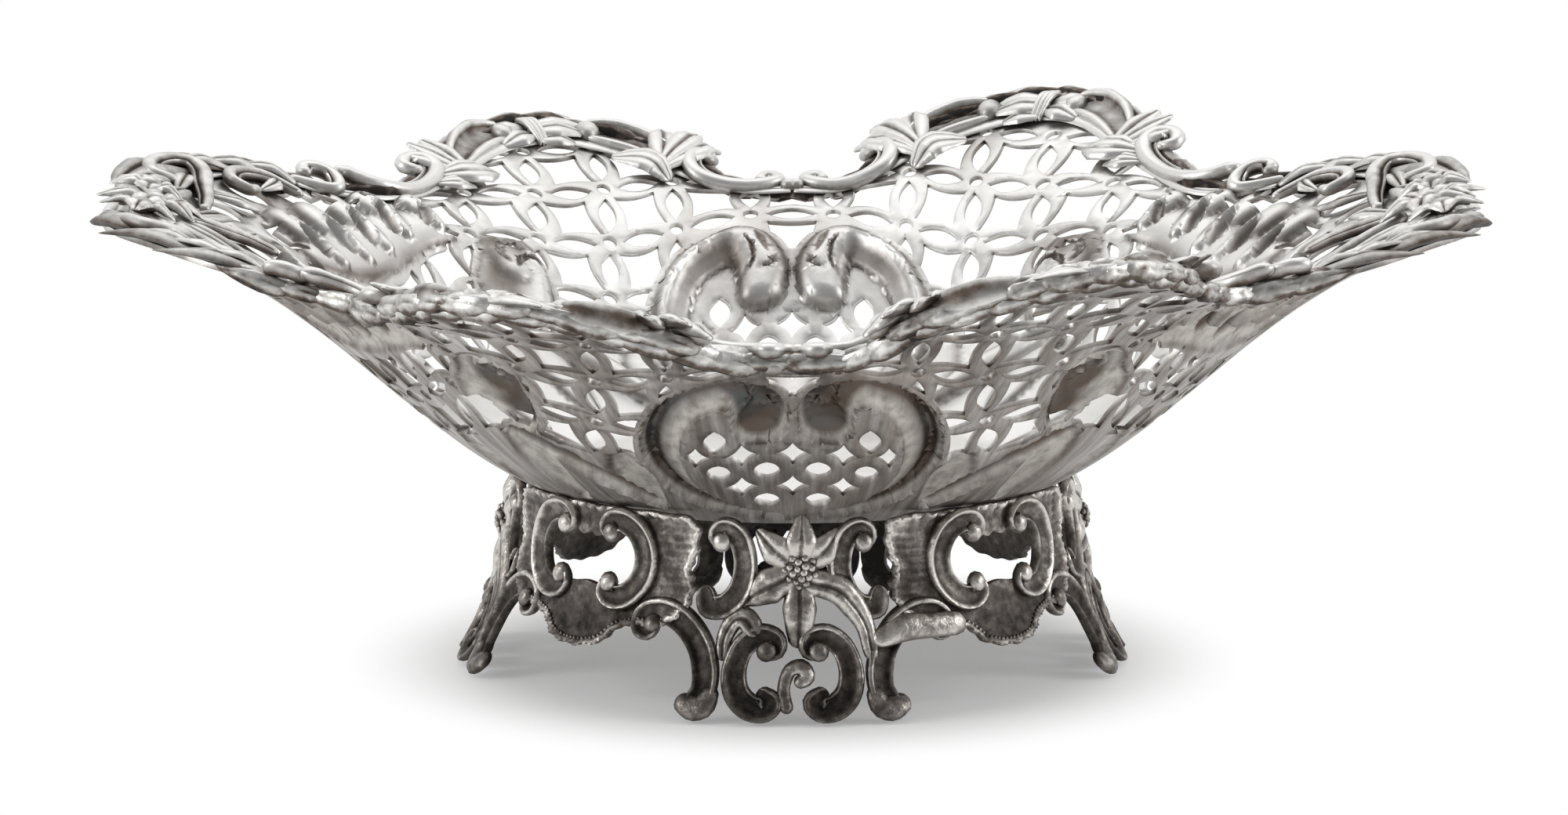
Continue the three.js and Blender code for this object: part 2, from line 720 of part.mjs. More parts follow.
function floorPoints() {
  const points = [new THREE.Vector2(0, 0)];
  for (let index = 0; index < floorSides; index += 1) {
    points.push(polar((360 * index) / floorSides, floorRadius));
    points.push(polar((360 * (index + 0.5)) / floorSides, floorRadius / 2));
  }
  return points;
}

function strokePoints(stroke) {
  const edge = strokeOutline(stroke, 0);
  return [...stroke.centre, ...edge];
}

const bowlStrokes = reliefStrokes();
const bowlLoosePoints = [...bowlStrokes.flatMap(strokePoints), ...floorPoints()];
const bowlOutline = rimOutline(borderOverhang, rimEdgeCount);
const bowlSheet = triangulate(bowlOutline, pierceOutlines(), bowlLoosePoints, reliefSpacing);

// The bowl, or the space that the borders keep clear of when it is grown by their solder gap
function bowlLayer(growth) {
  const half = sheetThickness / 2 + growth;
  return thicken(bowlSheet, (x, y, side) => onSheet(x, y, highest(bowlStrokes, x, y) + side * half));
}

// Castings: flat outlines with a rounded crest along each stroke, bent to the wall they lie on

function castingSheet(strokes, plates, cuts) {
  const outlines = [...strokes.map((stroke) => strokeOutline(stroke, 0)), ...plates];
  const whole = uniteAll(outlines.map(flatSolid));
  const trimmed = cuts.length > 0 ? whole.subtract(uniteAll(cuts.map(flatSolid))) : whole;
  const loops = upperOutlines(trimmed)
    .map((loop) => withoutShortEdges(loop, castingDetail))
    .filter((loop) => loop.length > 2)
    .sort((a, b) => Math.abs(THREE.ShapeUtils.area(b)) - Math.abs(THREE.ShapeUtils.area(a)));
  const outerSign = Math.sign(THREE.ShapeUtils.area(loops[0]));
  const openings = loops.filter((loop) => Math.sign(THREE.ShapeUtils.area(loop)) !== outerSign);
  return triangulate(loops[0], openings, strokes.flatMap((stroke) => stroke.centre), castingDetail);
}

function makeCasting(strokes, plates, cuts, place, base) {
  const crest = castingThickness - castingEdge;
  return thicken(castingSheet(strokes, plates, cuts), (x, y, side) =>
    place(x, y, side < 0 ? base : base + castingEdge + crest * highest(strokes, x, y)));
}

function footRadius(height) {
  const drop = 1 - height / floorHeight;
  return footTopRadius + footFlare * drop * Math.abs(drop);
}

// Places on the foot, from the distance round it, the height and the way out of its wall
function onFoot(centreAngle) {
  return (along, height, out) => {
    const angle = centreAngle + along / footWallRadius;
    const radius = footRadius(height) + out;
    return new THREE.Vector3(radius * Math.sin(angle), -radius * Math.cos(angle), height);
  };
}

function shareStroke(shares, widthShares, span, width, relief) {
  const points = shares.map(([across, up]) => new THREE.Vector2(across * span, up * floorHeight));
  return makeStroke(points, widthShares, width, relief);
}

function legStrokes() {
  const legScrollWidth = legScrollShare * legHalfSpan;
  const paired = [
    shareStroke(upperScrollShares, upperScrollWidthShares, legHalfSpan, legScrollWidth, scrollCrestShare),
    shareStroke(toeScrollShares, toeScrollWidthShares, legHalfSpan, legScrollWidth, toeCrestShare),
    shareStroke(lowerScrollShares, lowerScrollWidthShares, legHalfSpan, legScrollWidth, scrollCrestShare),
  ];
  const [flowerAcross, flowerUp] = flowerShares;
  const petals = petalTipShares.map(([across, up]) => {
    const middle = [(across + flowerAcross) / 2, (up + flowerUp) / 2];
    const points = [flowerShares, middle, [across, up]];
    return shareStroke(points, petalWidthShares, legHalfSpan, legScrollWidth, petalCrestShare);
  });
  const dome = shareStroke([
    [flowerAcross - domeSpanShare, flowerUp],
    flowerShares,
    [flowerAcross + domeSpanShare, flowerUp],
  ], domeWidthShares, legHalfSpan, legScrollWidth, domeCrestShare);
  return [
    ...paired,
    ...paired.map((stroke) => mirrorStroke(stroke, -1, 1)),
    shareStroke(curlShares, curlWidthShares, legHalfSpan, legScrollWidth, curlCrestShare),
    shareStroke(stemShares, stemWidthShares, legHalfSpan, legScrollWidth, curlCrestShare),
    shareStroke(budShares, budWidthShares, legHalfSpan, legScrollWidth, petalCrestShare),
    ...petals,
    dome,
  ];
}

// The space of the bowl's underside, grown by the solder gap, that the foot stops at
function bowlSeat() {
  const ring = (reach, turn) => Array.from({ length: seatSides }, (_, index) =>
    polar((-360 * (index + turn)) / seatSides, reach));
  const inner = seatRingShares.flatMap((share) => ring(share * seatReach, 0.5));
  const sheet = triangulate(ring(seatReach, 0), [], [...inner, new THREE.Vector2(0, 0)], sheetThickness);
  const under = -(sheetThickness / 2 + solderGap);
  return toSolid(thicken(sheet, (x, y, side) => {
    const point = onSheet(x, y, under);
    return side > 0 ? point.setZ(floorHeight + wallRise) : point;
  }));
}

function tableBlock() {
  const size = 2 * halfLength;
  return toSolid(new THREE.BoxGeometry(size, size, floorHeight).translate(0, 0, -floorHeight / 2));
}

const footSeat = bowlSeat();
const table = tableBlock();

function makeLeg(centreAngle) {
  const casting = toSolid(makeCasting(legStrokes(), [], [], onFoot(centreAngle), 0));
  return toGeometry(casting.subtract(footSeat).subtract(table));
}

function panelOutline(shares) {
  const right = shares.map(([across, up]) => new THREE.Vector2(across * panelHalfSpan, up * floorHeight));
  const left = right.slice(1, -1).map((point) => new THREE.Vector2(-point.x, point.y)).reverse();
  return [...right, ...left];
}

function makePanel(centreAngle) {
  const scroll = shareStroke(
    panelScrollShares,
    panelScrollWidthShares,
    panelHalfSpan,
    panelScrollWidth,
    scrollCrestShare,
  );
  const shift = (quarterTurn / 2) * footWallRadius;
  const neighbours = [-shift, shift].flatMap((side) => legStrokes().slice(0, 6).map((stroke) =>
    strokeOutline(stroke, castingClearance).map(({ x, y }) => new THREE.Vector2(x + side, y))));
  const strokes = [scroll, mirrorStroke(scroll, -1, 1)];
  const cuts = [panelOutline(panelOpeningShares), ...neighbours];
  const plates = [panelOutline(panelOutlineShares)];
  const casting = toSolid(makeCasting(strokes, plates, cuts, onFoot(centreAngle), 0));
  return toGeometry(casting.subtract(footSeat));
}

const borderBase = sheetThickness / 2 + 2 * solderGap;
const borderSeat = toSolid(bowlLayer(solderGap));

// A border casting's stroke: along the rim towards one end, and inward from the edge
function rimStroke(signX, start, length, shares, widthShares, width, crestShare) {
  const points = shares.map(([along, inward]) =>
    atRim(signX * (start + along * length), inward * borderWidth));
  return makeStroke(points, widthShares, width, crestShare);
}

function borderOnBowl(strokes) {
  const casting = toSolid(makeCasting(strokes, [], [], onSheet, borderBase));
  return toGeometry(casting.subtract(borderSeat));
}

function sideBorderStrokes(signX) {
  const along = (...form) => rimStroke(signX, solderGap, sideBorderLength, ...form);
  const band = along(sideBandShares, sideBandWidthShares, borderWidth, bandCrestShare);
  const scrolls = sideScrollShares.map((shares) =>
    along(shares, scrollWidthShares, borderScrollWidth, scrollCrestShare));
  const leaves = sideLeafShares.map((shares) =>
    along(shares, leafWidthShares, borderScrollWidth, leafCrestShare));
  return [band, ...scrolls, ...leaves];
}

function makeSideBorder(signX, signY) {
  return borderOnBowl(sideBorderStrokes(signX).map((stroke) => mirrorStroke(stroke, 1, signY)));
}

// Where half an end casting starts along the rim, from the middle of a side, and its length to the tip
function endSpan(signX) {
  const tip = stationAt('angle', fullTurn / 2 - signX * quarterTurn);
  const start = sideBorderLength + 3 * solderGap;
  return [start, (signX > 0 ? tip.along : rimLength - tip.along) - start];
}

function bothHalves(strokes) {
  return strokes.flatMap((stroke) => [stroke, mirrorStroke(stroke, 1, -1)]);
}

function makeEndBorder(signX) {
  const along = (...form) => rimStroke(signX, ...endSpan(signX), ...form);
  const band = along(endBandShares, endBandWidthShares, borderWidth, bandCrestShare);
  const scrolls = endScrollShares.map((shares) =>
    along(shares, scrollWidthShares, borderScrollWidth, scrollCrestShare));
  return borderOnBowl(bothHalves([band, ...scrolls]));
}

function flowerStrokes(spot) {
  return Array.from({ length: sprayPetals }, (_, index) => {
    const reach = polar((360 * (index + 0.5)) / sprayPetals, sprayFlowerRadius);
    const points = [0, 0.5, 1].map((share) => spot.clone().addScaledVector(reach, share));
    return makeStroke(points, sprayPetalWidthShares, sprayPetalWidth, scrollCrestShare);
  });
}

function makeSpray(signX) {
  const [start, length] = endSpan(signX);
  const spots = sprayPlaceShares.map(([along, inward]) =>
    atRim(signX * (start + along * length), inward * borderWidth));
  const stem = rimStroke(signX, start, length, sprayStemShares, sprayStemWidthShares,
    sprayPetalWidth, stemCrestShare);
  const strokes = [...bothHalves([...flowerStrokes(spots[1]), stem]), ...flowerStrokes(spots[0])];
  return makeCasting(strokes, [], [], onSheet, borderBase + castingThickness + 2 * solderGap);
}

// Assembly

function addPart(group, name, geometry, color, roughness) {
  const material = new THREE.MeshStandardMaterial({ color, roughness, metalness: 1 });
  const mesh = new THREE.Mesh(geometry, material);
  mesh.name = name;
  group.add(mesh);
}

const basket = new THREE.Group();

addPart(basket, 'bowl', bowlLayer(0), silverColour, brightRoughness);
for (const [side, signY] of [['back', 1], ['front', -1]]) {
  for (const [end, signX] of [['right', 1], ['left', -1]]) {
    const border = makeSideBorder(signX, signY);
    addPart(basket, `side_border_${side}_${end}`, border, silverColour, brightRoughness);
  }
}
for (const [end, signX] of [['right', 1], ['left', -1]]) {
  addPart(basket, `end_border_${end}`, makeEndBorder(signX), silverColour, brightRoughness);
  addPart(basket, `flower_spray_${end}`, makeSpray(signX), silverColour, castRoughness);
}
['front', 'right', 'back', 'left'].forEach((name, index) => {
  addPart(basket, `leg_${name}`, makeLeg(index * quarterTurn), footColour, castRoughness);
});
['front_right', 'back_right', 'back_left', 'front_left'].forEach((name, index) => {
  addPart(basket, `panel_${name}`, makePanel((index + 0.5) * quarterTurn), footColour, castRoughness);
});

export default basket;
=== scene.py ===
import math

import bpy
import numpy as np
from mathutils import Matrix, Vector, geometry


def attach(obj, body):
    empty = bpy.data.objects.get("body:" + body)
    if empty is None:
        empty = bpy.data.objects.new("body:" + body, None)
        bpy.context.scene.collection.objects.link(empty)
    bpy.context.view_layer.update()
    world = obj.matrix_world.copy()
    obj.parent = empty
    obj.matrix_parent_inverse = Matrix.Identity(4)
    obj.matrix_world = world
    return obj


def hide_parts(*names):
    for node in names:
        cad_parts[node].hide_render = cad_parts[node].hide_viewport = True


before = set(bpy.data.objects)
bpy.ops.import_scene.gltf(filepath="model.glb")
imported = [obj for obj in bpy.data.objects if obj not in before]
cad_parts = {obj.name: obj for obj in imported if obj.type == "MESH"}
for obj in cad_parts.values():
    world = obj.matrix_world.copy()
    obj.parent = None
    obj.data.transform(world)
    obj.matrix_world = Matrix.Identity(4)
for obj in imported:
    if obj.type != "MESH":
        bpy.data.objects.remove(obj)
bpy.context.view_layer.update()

mm = 0.001  # forms are laid out in millimetres, Blender's unit is the metre
fullTurn = math.tau


# Helpers for objects, node trees and materials

def placeObject(name, data):
    thing = bpy.data.objects.new(name, data)
    bpy.context.scene.collection.objects.link(thing)
    return thing


def feed(tree, node, inputs):
    # inputs by name or number: each a value or another node's output
    for key, value in inputs.items():
        socket = node.inputs[key]
        if isinstance(value, bpy.types.NodeSocket):
            tree.links.new(value, socket)
        else:
            socket.default_value = (*value, 1) if socket.type == "RGBA" else value
    return node


def addNode(tree, kind, inputs=None, **settings):
    node = tree.nodes.new(kind)
    for name, value in settings.items():
        setattr(node, name, value)
    return feed(tree, node, inputs or {})


def mathNode(tree, operation, *values):
    return addNode(tree, "ShaderNodeMath", dict(enumerate(values)), operation=operation).outputs[0]


def product(tree, first, *others):
    for other in others:
        first = mathNode(tree, "MULTIPLY", first, other)
    return first


def vectorNode(tree, operation, inputs, output=0):
    return addNode(tree, "ShaderNodeVectorMath", inputs, operation=operation).outputs[output]


def rangeNode(tree, value, low, high, toLow=0.0, toHigh=1.0, curve="LINEAR"):
    inputs = {"Value": value, "From Min": low, "From Max": high, "To Min": toLow, "To Max": toHigh}
    return addNode(tree, "ShaderNodeMapRange", inputs, interpolation_type=curve).outputs["Result"]


def noiseNode(tree, vector, scale, detail=3.0, roughness=0.55):
    inputs = {"Vector": vector, "Scale": scale, "Detail": detail, "Roughness": roughness}
    return addNode(tree, "ShaderNodeTexNoise", inputs).outputs["Fac"]


def mixColour(tree, factor, first, second):
    # inputs 6 and 7 are this node's pair of colours
    return addNode(tree, "ShaderNodeMix", {0: factor, 6: first, 7: second}, data_type="RGBA").outputs[2]


def mixShader(tree, factor, first, second):
    return addNode(tree, "ShaderNodeMixShader", {0: factor, 1: first, 2: second}).outputs[0]


def grainBump(tree, height, strength, depth):
    inputs = {"Strength": strength, "Distance": depth, "Height": height}
    return addNode(tree, "ShaderNodeBump", inputs).outputs[0]


def newMaterial(name, **inputs):
    material = bpy.data.materials.new(name)
    material.use_nodes = True
    tree = material.node_tree
    return material, tree, feed(tree, tree.nodes["Principled BSDF"], inputs)


# Camera, lights and floor

cameraPlan = {
    "aim": (-1.2, 0.0, 36.6),
    "elevation": 10.3,
    "distance": 1340,
    "halfWidth": 112.6,  # half the width of the view at the aim point
    "sensor": 36,
    "clip": (0.01, 50),  # metres
}

lightPlan = {
    "worldLight": 0.62,
    "glossFront": 0.26,  # what metal sees towards the room, and towards the pale backdrop
    "glossBack": 1.0,
    "glossFade": (-0.45, 0.75),  # from one to the other, by how far a direction points back
    "glossTilt": 0.12,  # and by this share of how far it points up
    "lampAim": (0, 0, 40),
    "lamps": [  # name, place, size, watts
        ("topBox", (0, 150, 900), (1000, 800), 1.6),
        ("leftBox", (-900, -350, 420), (400, 700), 3.4),
        ("rightBox", (900, -150, 420), (300, 600), 2.4),
    ],
}

floorPlan = {
    "halfSize": 6000,
    "colour": (0.86, 0.86, 0.86),
    "roughness": 0.6,
    "shine": 0.2,
    # painted light: the floor glows white for camera and glossy rays, at shadowLift inside the ellipse and
    # fully beyond it, lightening and bounding the object's shadow
    "shadowFrom": 40,  # beyond this ellipse the floor fades into the white backdrop
    "shadowTo": 66,
    "shadowLift": 0.24,
    "shadowDepth": 0.92,  # the ellipse's size across the picture over its size along it
}


def makeCamera():
    data = bpy.data.cameras.new("camera")
    camera = placeObject("camera", data)
    tilt = math.radians(cameraPlan["elevation"])
    distance = cameraPlan["distance"]
    aim = Vector(cameraPlan["aim"])
    camera.location = (aim + Vector((0, -math.cos(tilt), math.sin(tilt))) * distance) * mm
    camera.rotation_euler = (math.pi / 2 - tilt, 0, 0)
    data.sensor_width = cameraPlan["sensor"]
    data.lens = cameraPlan["sensor"] / 2 * distance / cameraPlan["halfWidth"]
    data.clip_start, data.clip_end = cameraPlan["clip"]
    bpy.context.scene.camera = camera


def makeLamps():
    aim = Vector(lightPlan["lampAim"])
    for name, place, size, watts in lightPlan["lamps"]:
        data = bpy.data.lights.new(name, "AREA")
        data.shape = "RECTANGLE"
        data.size, data.size_y = (side * mm for side in size)
        data.energy = watts
        lamp = placeObject(name, data)
        lamp.location = Vector(place) * mm
        lamp.rotation_euler = (aim - Vector(place)).to_track_quat("-Z", "Y").to_euler()


def makeWorld():
    world = bpy.data.worlds.new("studio")
    bpy.context.scene.world = world
    world.use_nodes = True
    tree = world.node_tree
    tree.nodes.clear()
    way = addNode(tree, "ShaderNodeTexCoord").outputs["Generated"]
    split = addNode(tree, "ShaderNodeSeparateXYZ", {0: way}).outputs
    back = mathNode(tree, "MULTIPLY_ADD", split["Z"], lightPlan["glossTilt"], split["Y"])
    gloss = rangeNode(tree, back, *lightPlan["glossFade"], lightPlan["glossFront"], lightPlan["glossBack"],
                      "SMOOTHSTEP")
    light, glossy, seen = (
        addNode(tree, "ShaderNodeBackground", {"Color": (1, 1, 1), "Strength": strength}).outputs[0]
        for strength in (lightPlan["worldLight"], gloss, 1))
    path = addNode(tree, "ShaderNodeLightPath").outputs
    lit = mixShader(tree, path["Is Glossy Ray"], light, glossy)
    addNode(tree, "ShaderNodeOutputWorld", {0: mixShader(tree, path["Is Camera Ray"], lit, seen)})


def makeFloor():
    half = floorPlan["halfSize"] * mm
    mesh = bpy.data.meshes.new("floor")
    corners = [(-half, -half, 0), (half, -half, 0), (half, half, 0), (-half, half, 0)]
    mesh.from_pydata(corners, [], [(0, 1, 2, 3)])
    floor = placeObject("floor", mesh)
    material, tree, shader = newMaterial("paleFloor", **{
        "Base Color": floorPlan["colour"], "Roughness": floorPlan["roughness"],
        "Specular IOR Level": floorPlan["shine"]})
    place = addNode(tree, "ShaderNodeTexCoord").outputs["Object"]
    squeezed = vectorNode(tree, "MULTIPLY", {0: place, 1: (1, floorPlan["shadowDepth"], 0)})
    size = vectorNode(tree, "LENGTH", {0: squeezed}, "Value")
    fade = rangeNode(tree, size, floorPlan["shadowFrom"] * mm, floorPlan["shadowTo"] * mm,
                     floorPlan["shadowLift"], 1, "SMOOTHSTEP")
    # painted light: a white glow over the floor, faint near the object and full past the ellipse, lightens
    # its shadow and cuts it off
    path = addNode(tree, "ShaderNodeLightPath").outputs
    either = mathNode(tree, "MAXIMUM", path["Is Camera Ray"], path["Is Glossy Ray"])
    white = addNode(tree, "ShaderNodeEmission").outputs[0]
    mixed = mixShader(tree, product(tree, either, fade), shader.outputs[0], white)
    feed(tree, tree.nodes["Material Output"], {"Surface": mixed})
    mesh.materials.append(material)


bpy.context.scene.view_settings.view_transform = "Standard"
makeCamera()
makeLamps()
makeWorld()
makeFloor()
print("camera, lights and floor are set")


# Form of the sheet: rings that the wall is lofted through, from the flat floor out to the rim

sheetForm = {
    "halfLength": 100,
    "halfWidth": 82.5,
    "floorHeight": 27,
    "wallRise": 40,
    "thickness": 0.9,
    "floorRing": (37, 35.5),
    "bellyRing": (58, 54),
    "bellyRise": 9,
    "neckRing": (70, 60),
    "neckRise": 30,
    "neckFollow": 0.35,
    "rimDrop": 1.8,
    "rimAngleShares": (0.98, 0.945),
    "rimSamples": 1408,
    "riseSteps": 201,  # steps up the wall along which its height is measured
    # from the middle of a side to the tip: shares of length, width and rise (left end, right end)
    "rimShares": [
        (0, 0.909, 0.775, 0.775),
        (0.09, 0.921, 0.78, 0.79),
        (0.2, 0.982, 0.863, 0.938),
        (0.37, 1, 0.963, 1.063),
        (0.49, 0.909, 0.95, 1.063),
        (0.575, 0.691, 0.863, 0.938),
        (0.62, 0.57, 0.863, 0.888),
        (0.71, 0.533, 0.9, 0.913),
        (0.82, 0.497, 0.975, 0.975),
        (0.91, 0.394, 1.013, 1.013),
        (0.975, 0.242, 1.013, 1.013),
        (1, 0, 0.975, 0.975),
    ],
}


def splineBetween(before, start, end, after, share):
    return 0.5 * (2 * start + (end - before) * share + (2 * before - 5 * start + 4 * end - after) * share ** 2
                  + (3 * start - before - 3 * end + after) * share ** 3)


def closedSpline(points, count):
    points = np.asarray(points, float)
    place = np.arange(count + 1) / count * len(points)
    low = np.floor(place).astype(int)
    near = (points[(low + shift) % len(points)] for shift in (-1, 0, 1, 2))
    return splineBetween(*near, (place - low)[:, None])


def openSpline(points, count):
    points = np.asarray(points, float)
    last = len(points) - 1
    place = np.arange(count + 1) / count * last
    low = np.minimum(np.floor(place).astype(int), last - 1)
    near = (points[np.clip(low + shift, 0, last)] for shift in (-1, 0, 1, 2))
    return splineBetween(*near, (place - low)[:, None])


def unitRows(vectors):
    return vectors / np.linalg.norm(vectors, axis=-1)[..., None]


def quarterRim(signX, signY):
    lift = 2 if signX < 0 else 3
    return [(
        signX * row[0] * sheetForm["halfLength"],
        signY * row[1] * sheetForm["halfWidth"],
        sheetForm["floorHeight"] - sheetForm["rimDrop"] + row[lift] * sheetForm["wallRise"],
    ) for row in sheetForm["rimShares"]]


def wallCorners(angle, rim):
    sine, cosine = np.sin(angle), np.cos(angle)
    low = sheetForm["floorHeight"]
    neck = sheetForm["neckRise"] + sheetForm["neckFollow"] * (rim[..., 2] - low - sheetForm["neckRise"])

    def ring(size, rise):
        return np.stack([size[0] * sine, size[1] * cosine, low + rise + 0 * sine], axis=-1)

    return (
        ring(sheetForm["floorRing"], 0),
        ring(sheetForm["bellyRing"], sheetForm["bellyRise"]),
        ring(sheetForm["neckRing"], neck),
        rim,
    )


def bezier(corners, share):
    share = share[..., None]
    rest = 1 - share
    return (corners[0] * rest ** 3 + 3 * corners[1] * rest ** 2 * share
            + 3 * corners[2] * rest * share ** 2 + corners[3] * share ** 3)


def makeStations():
    points = (quarterRim(1, 1) + quarterRim(1, -1)[::-1][1:]
              + quarterRim(-1, -1)[1:] + quarterRim(-1, 1)[::-1][1:-1])
    rim = closedSpline(points, sheetForm["rimSamples"])
    lengthShare, widthShare = sheetForm["rimAngleShares"]
    angle = np.arctan2(rim[:, 0] / (lengthShare * sheetForm["halfLength"]),
                       rim[:, 1] / (widthShare * sheetForm["halfWidth"])) % fullTurn
    angle[0], angle[-1] = 0, fullTurn
    along = np.concatenate([[0], np.cumsum(np.linalg.norm(np.diff(rim, axis=0), axis=1))])
    corners = wallCorners(angle, rim)
    steps = np.linspace(0, 1, sheetForm["riseSteps"])
    path = np.stack([bezier(corners, np.full(len(angle), step)) for step in steps])
    rise = np.linalg.norm(np.diff(path, axis=0), axis=2).sum(axis=0)
    return {"rim": rim, "angle": angle, "along": along, "rise": rise}


stations = makeStations()
floorRadius = sum(sheetForm["floorRing"]) / 2
rimLength = stations["along"][-1]


def around(angle, radius):
    return np.stack([radius * np.sin(angle), radius * np.cos(angle)], axis=-1)


def polar(degrees, radius):
    return around(np.radians(degrees), radius)


def sheetPoint(flat):
    # flat layout: distance from the middle, then the way up the wall; direction from +Y towards +X
    radius = np.hypot(flat[:, 0], flat[:, 1])
    angle = np.arctan2(flat[:, 0], flat[:, 1]) % fullTurn
    rim = np.stack(
        [np.interp(angle, stations["angle"], stations["rim"][:, axis]) for axis in range(3)], axis=-1)
    rise = np.interp(angle, stations["angle"], stations["rise"])
    climb = np.maximum((radius - floorRadius) / rise, 0)
    wall = bezier(wallCorners(angle, rim), climb)
    inner = np.minimum(radius / floorRadius, 1)[:, None]
    middle = np.array([0, 0, sheetForm["floorHeight"]])
    return np.where(radius[:, None] <= floorRadius, middle + (wall - middle) * inner, wall)


def sheetNormal(flat):
    probe = sheetForm["thickness"] / 2
    origin = sheetPoint(flat)
    alongX = sheetPoint(flat + np.array([probe, 0])) - origin
    alongY = sheetPoint(flat + np.array([0, probe])) - origin
    return unitRows(np.cross(alongX, alongY))


def onSheet(flat, height):
    return sheetPoint(flat) + sheetNormal(flat) * np.asarray(height, float)[:, None]


def rimEdge(along):
    along = np.asarray(along, float) % rimLength
    angle = np.interp(along, stations["along"], stations["angle"])
    return around(angle, floorRadius + np.interp(along, stations["along"], stations["rise"]))


def atRim(along, inward):
    probe = sheetForm["thickness"]
    along = np.asarray(along, float)
    tangent = unitRows(rimEdge(along + probe) - rimEdge(along - probe))
    inwardWay = np.stack([tangent[..., 1], -tangent[..., 0]], axis=-1)
    return rimEdge(along) + inwardWay * np.asarray(inward, float)[..., None]


# Strokes: a smooth centre line with a width that changes along it

strokePlan = {
    "step": 0.9,  # between the points of a centre line
    "fewest": 6,
    "rough": 60,  # points along which a centre line is first measured
    "denseStep": 0.75,  # between the points of outlines that cross raised forms
    "reach": (1.3, 1),  # how far from the centre line places are worked out: half widths, and millimetres
    "far": 9.0,  # the place across that everything beyond it gets
    # a crest near its outer edge, then a long low slope to its inner one: places across, and heights
    "outerProfile": ([-1, -0.9, -0.72, -0.55, -0.4, -0.2, 0.1, 0.5, 0.82, 0.94, 1],
                     [0, 0.5, 0.92, 1, 0.9, 0.68, 0.54, 0.45, 0.34, 0.2, 0]),
    # how far a form rises from its start and its end
    "fades": {"outer": (2.5, 2.5), "head": (7, 0.01), "round": (0.01, 0.01)},
    "endShare": 0.35,  # of its relief, at the very end
    "creaseWidth": 0.36,  # of the dark line at a form's edge
    "creaseLevels": ([0.3, 0.6], [1, 0]),  # it fades where another form stands higher
    "cutLevel": 0.75,  # how much of a form's polish a chased cut takes
    "fineCut": 0.9,  # half width below which a cut is a fine, dark line
    "cutCreases": (0.9, 0.5),  # darkness of fine and of broad cuts
}


def measured(points, step, fewest, rough):
    # how many steps a smooth line through the points takes, and its length
    length = np.linalg.norm(np.diff(openSpline(points, rough), axis=0), axis=1).sum()
    return max(fewest, math.ceil(length / step)), length


def makeStroke(points, widthShares, width, relief, shape="round"):
    count, length = measured(points, strokePlan["step"], strokePlan["fewest"], strokePlan["rough"])
    centre = openSpline(points, count)
    place = np.arange(count + 1) / count
    half = width / 2 * np.interp(place, np.linspace(0, 1, len(widthShares)), widthShares)
    tangent = unitRows(np.gradient(centre, axis=0))
    side = np.stack([-tangent[:, 1], tangent[:, 0]], axis=-1)
    return {"centre": centre, "half": half, "side": side, "relief": relief, "shape": shape, "length": length}


def strokeOutline(stroke, growth):
    reach = (stroke["half"] + growth)[:, None] * stroke["side"]
    return np.concatenate([stroke["centre"] + reach, (stroke["centre"] - reach)[::-1]])


def denseLoop(outline):
    # more points along long edges, so that they follow the raised forms that they cross
    ahead = np.roll(outline, -1, axis=0)
    lengths = np.linalg.norm(ahead - outline, axis=1)
    counts = np.maximum(1, np.ceil(lengths / strokePlan["denseStep"])).astype(int)
    return np.concatenate([start + (end - start) * np.arange(count)[:, None] / count
                           for start, end, count in zip(outline, ahead, counts)])


def strokeField(stroke, flat):
    # signed place across the stroke, -1 to 1 between its edges, and the place along it, 0 to 1
    centre, half = stroke["centre"], stroke["half"]
    best = np.full(len(flat), np.inf)
    across = np.full(len(flat), strokePlan["far"])
    along = np.zeros(len(flat))
    widths, extra = strokePlan["reach"]
    reach = half.max() * widths + extra
    near = np.all((flat > centre.min(axis=0) - reach) & (flat < centre.max(axis=0) + reach), axis=1)
    spot = flat[near]
    if not len(spot):
        return across, along
    bestNear, acrossNear, alongNear = best[near], across[near], along[near]
    for index in range(len(centre) - 1):
        start, span = centre[index], centre[index + 1] - centre[index]
        share = np.clip((spot - start) @ span / (span @ span), 0, 1)
        gap = spot - start - share[:, None] * span
        size = half[index] + share * (half[index + 1] - half[index])
        distance = np.linalg.norm(gap, axis=1) / size
        closer = distance < bestNear
        sign = np.sign(gap @ np.array([-span[1], span[0]]))
        bestNear[closer] = distance[closer]
        acrossNear[closer] = (sign * distance)[closer]
        alongNear[closer] = (index + share[closer]) / (len(centre) - 1)
    across[near], along[near] = acrossNear, alongNear
    return across, along


def profileHeight(shape, across):
    # height of a stroke's cross-section, 0 at its edges and 1 at its crest
    inside = np.clip(np.abs(across), 0, 1)
    if shape == "outer":
        return np.interp(across, *strokePlan["outerProfile"])
    if shape == "groove":
        return -np.cos(inside * math.pi / 2)
    return np.sqrt(1 - inside ** 2)


# Embossed forms of the bowl

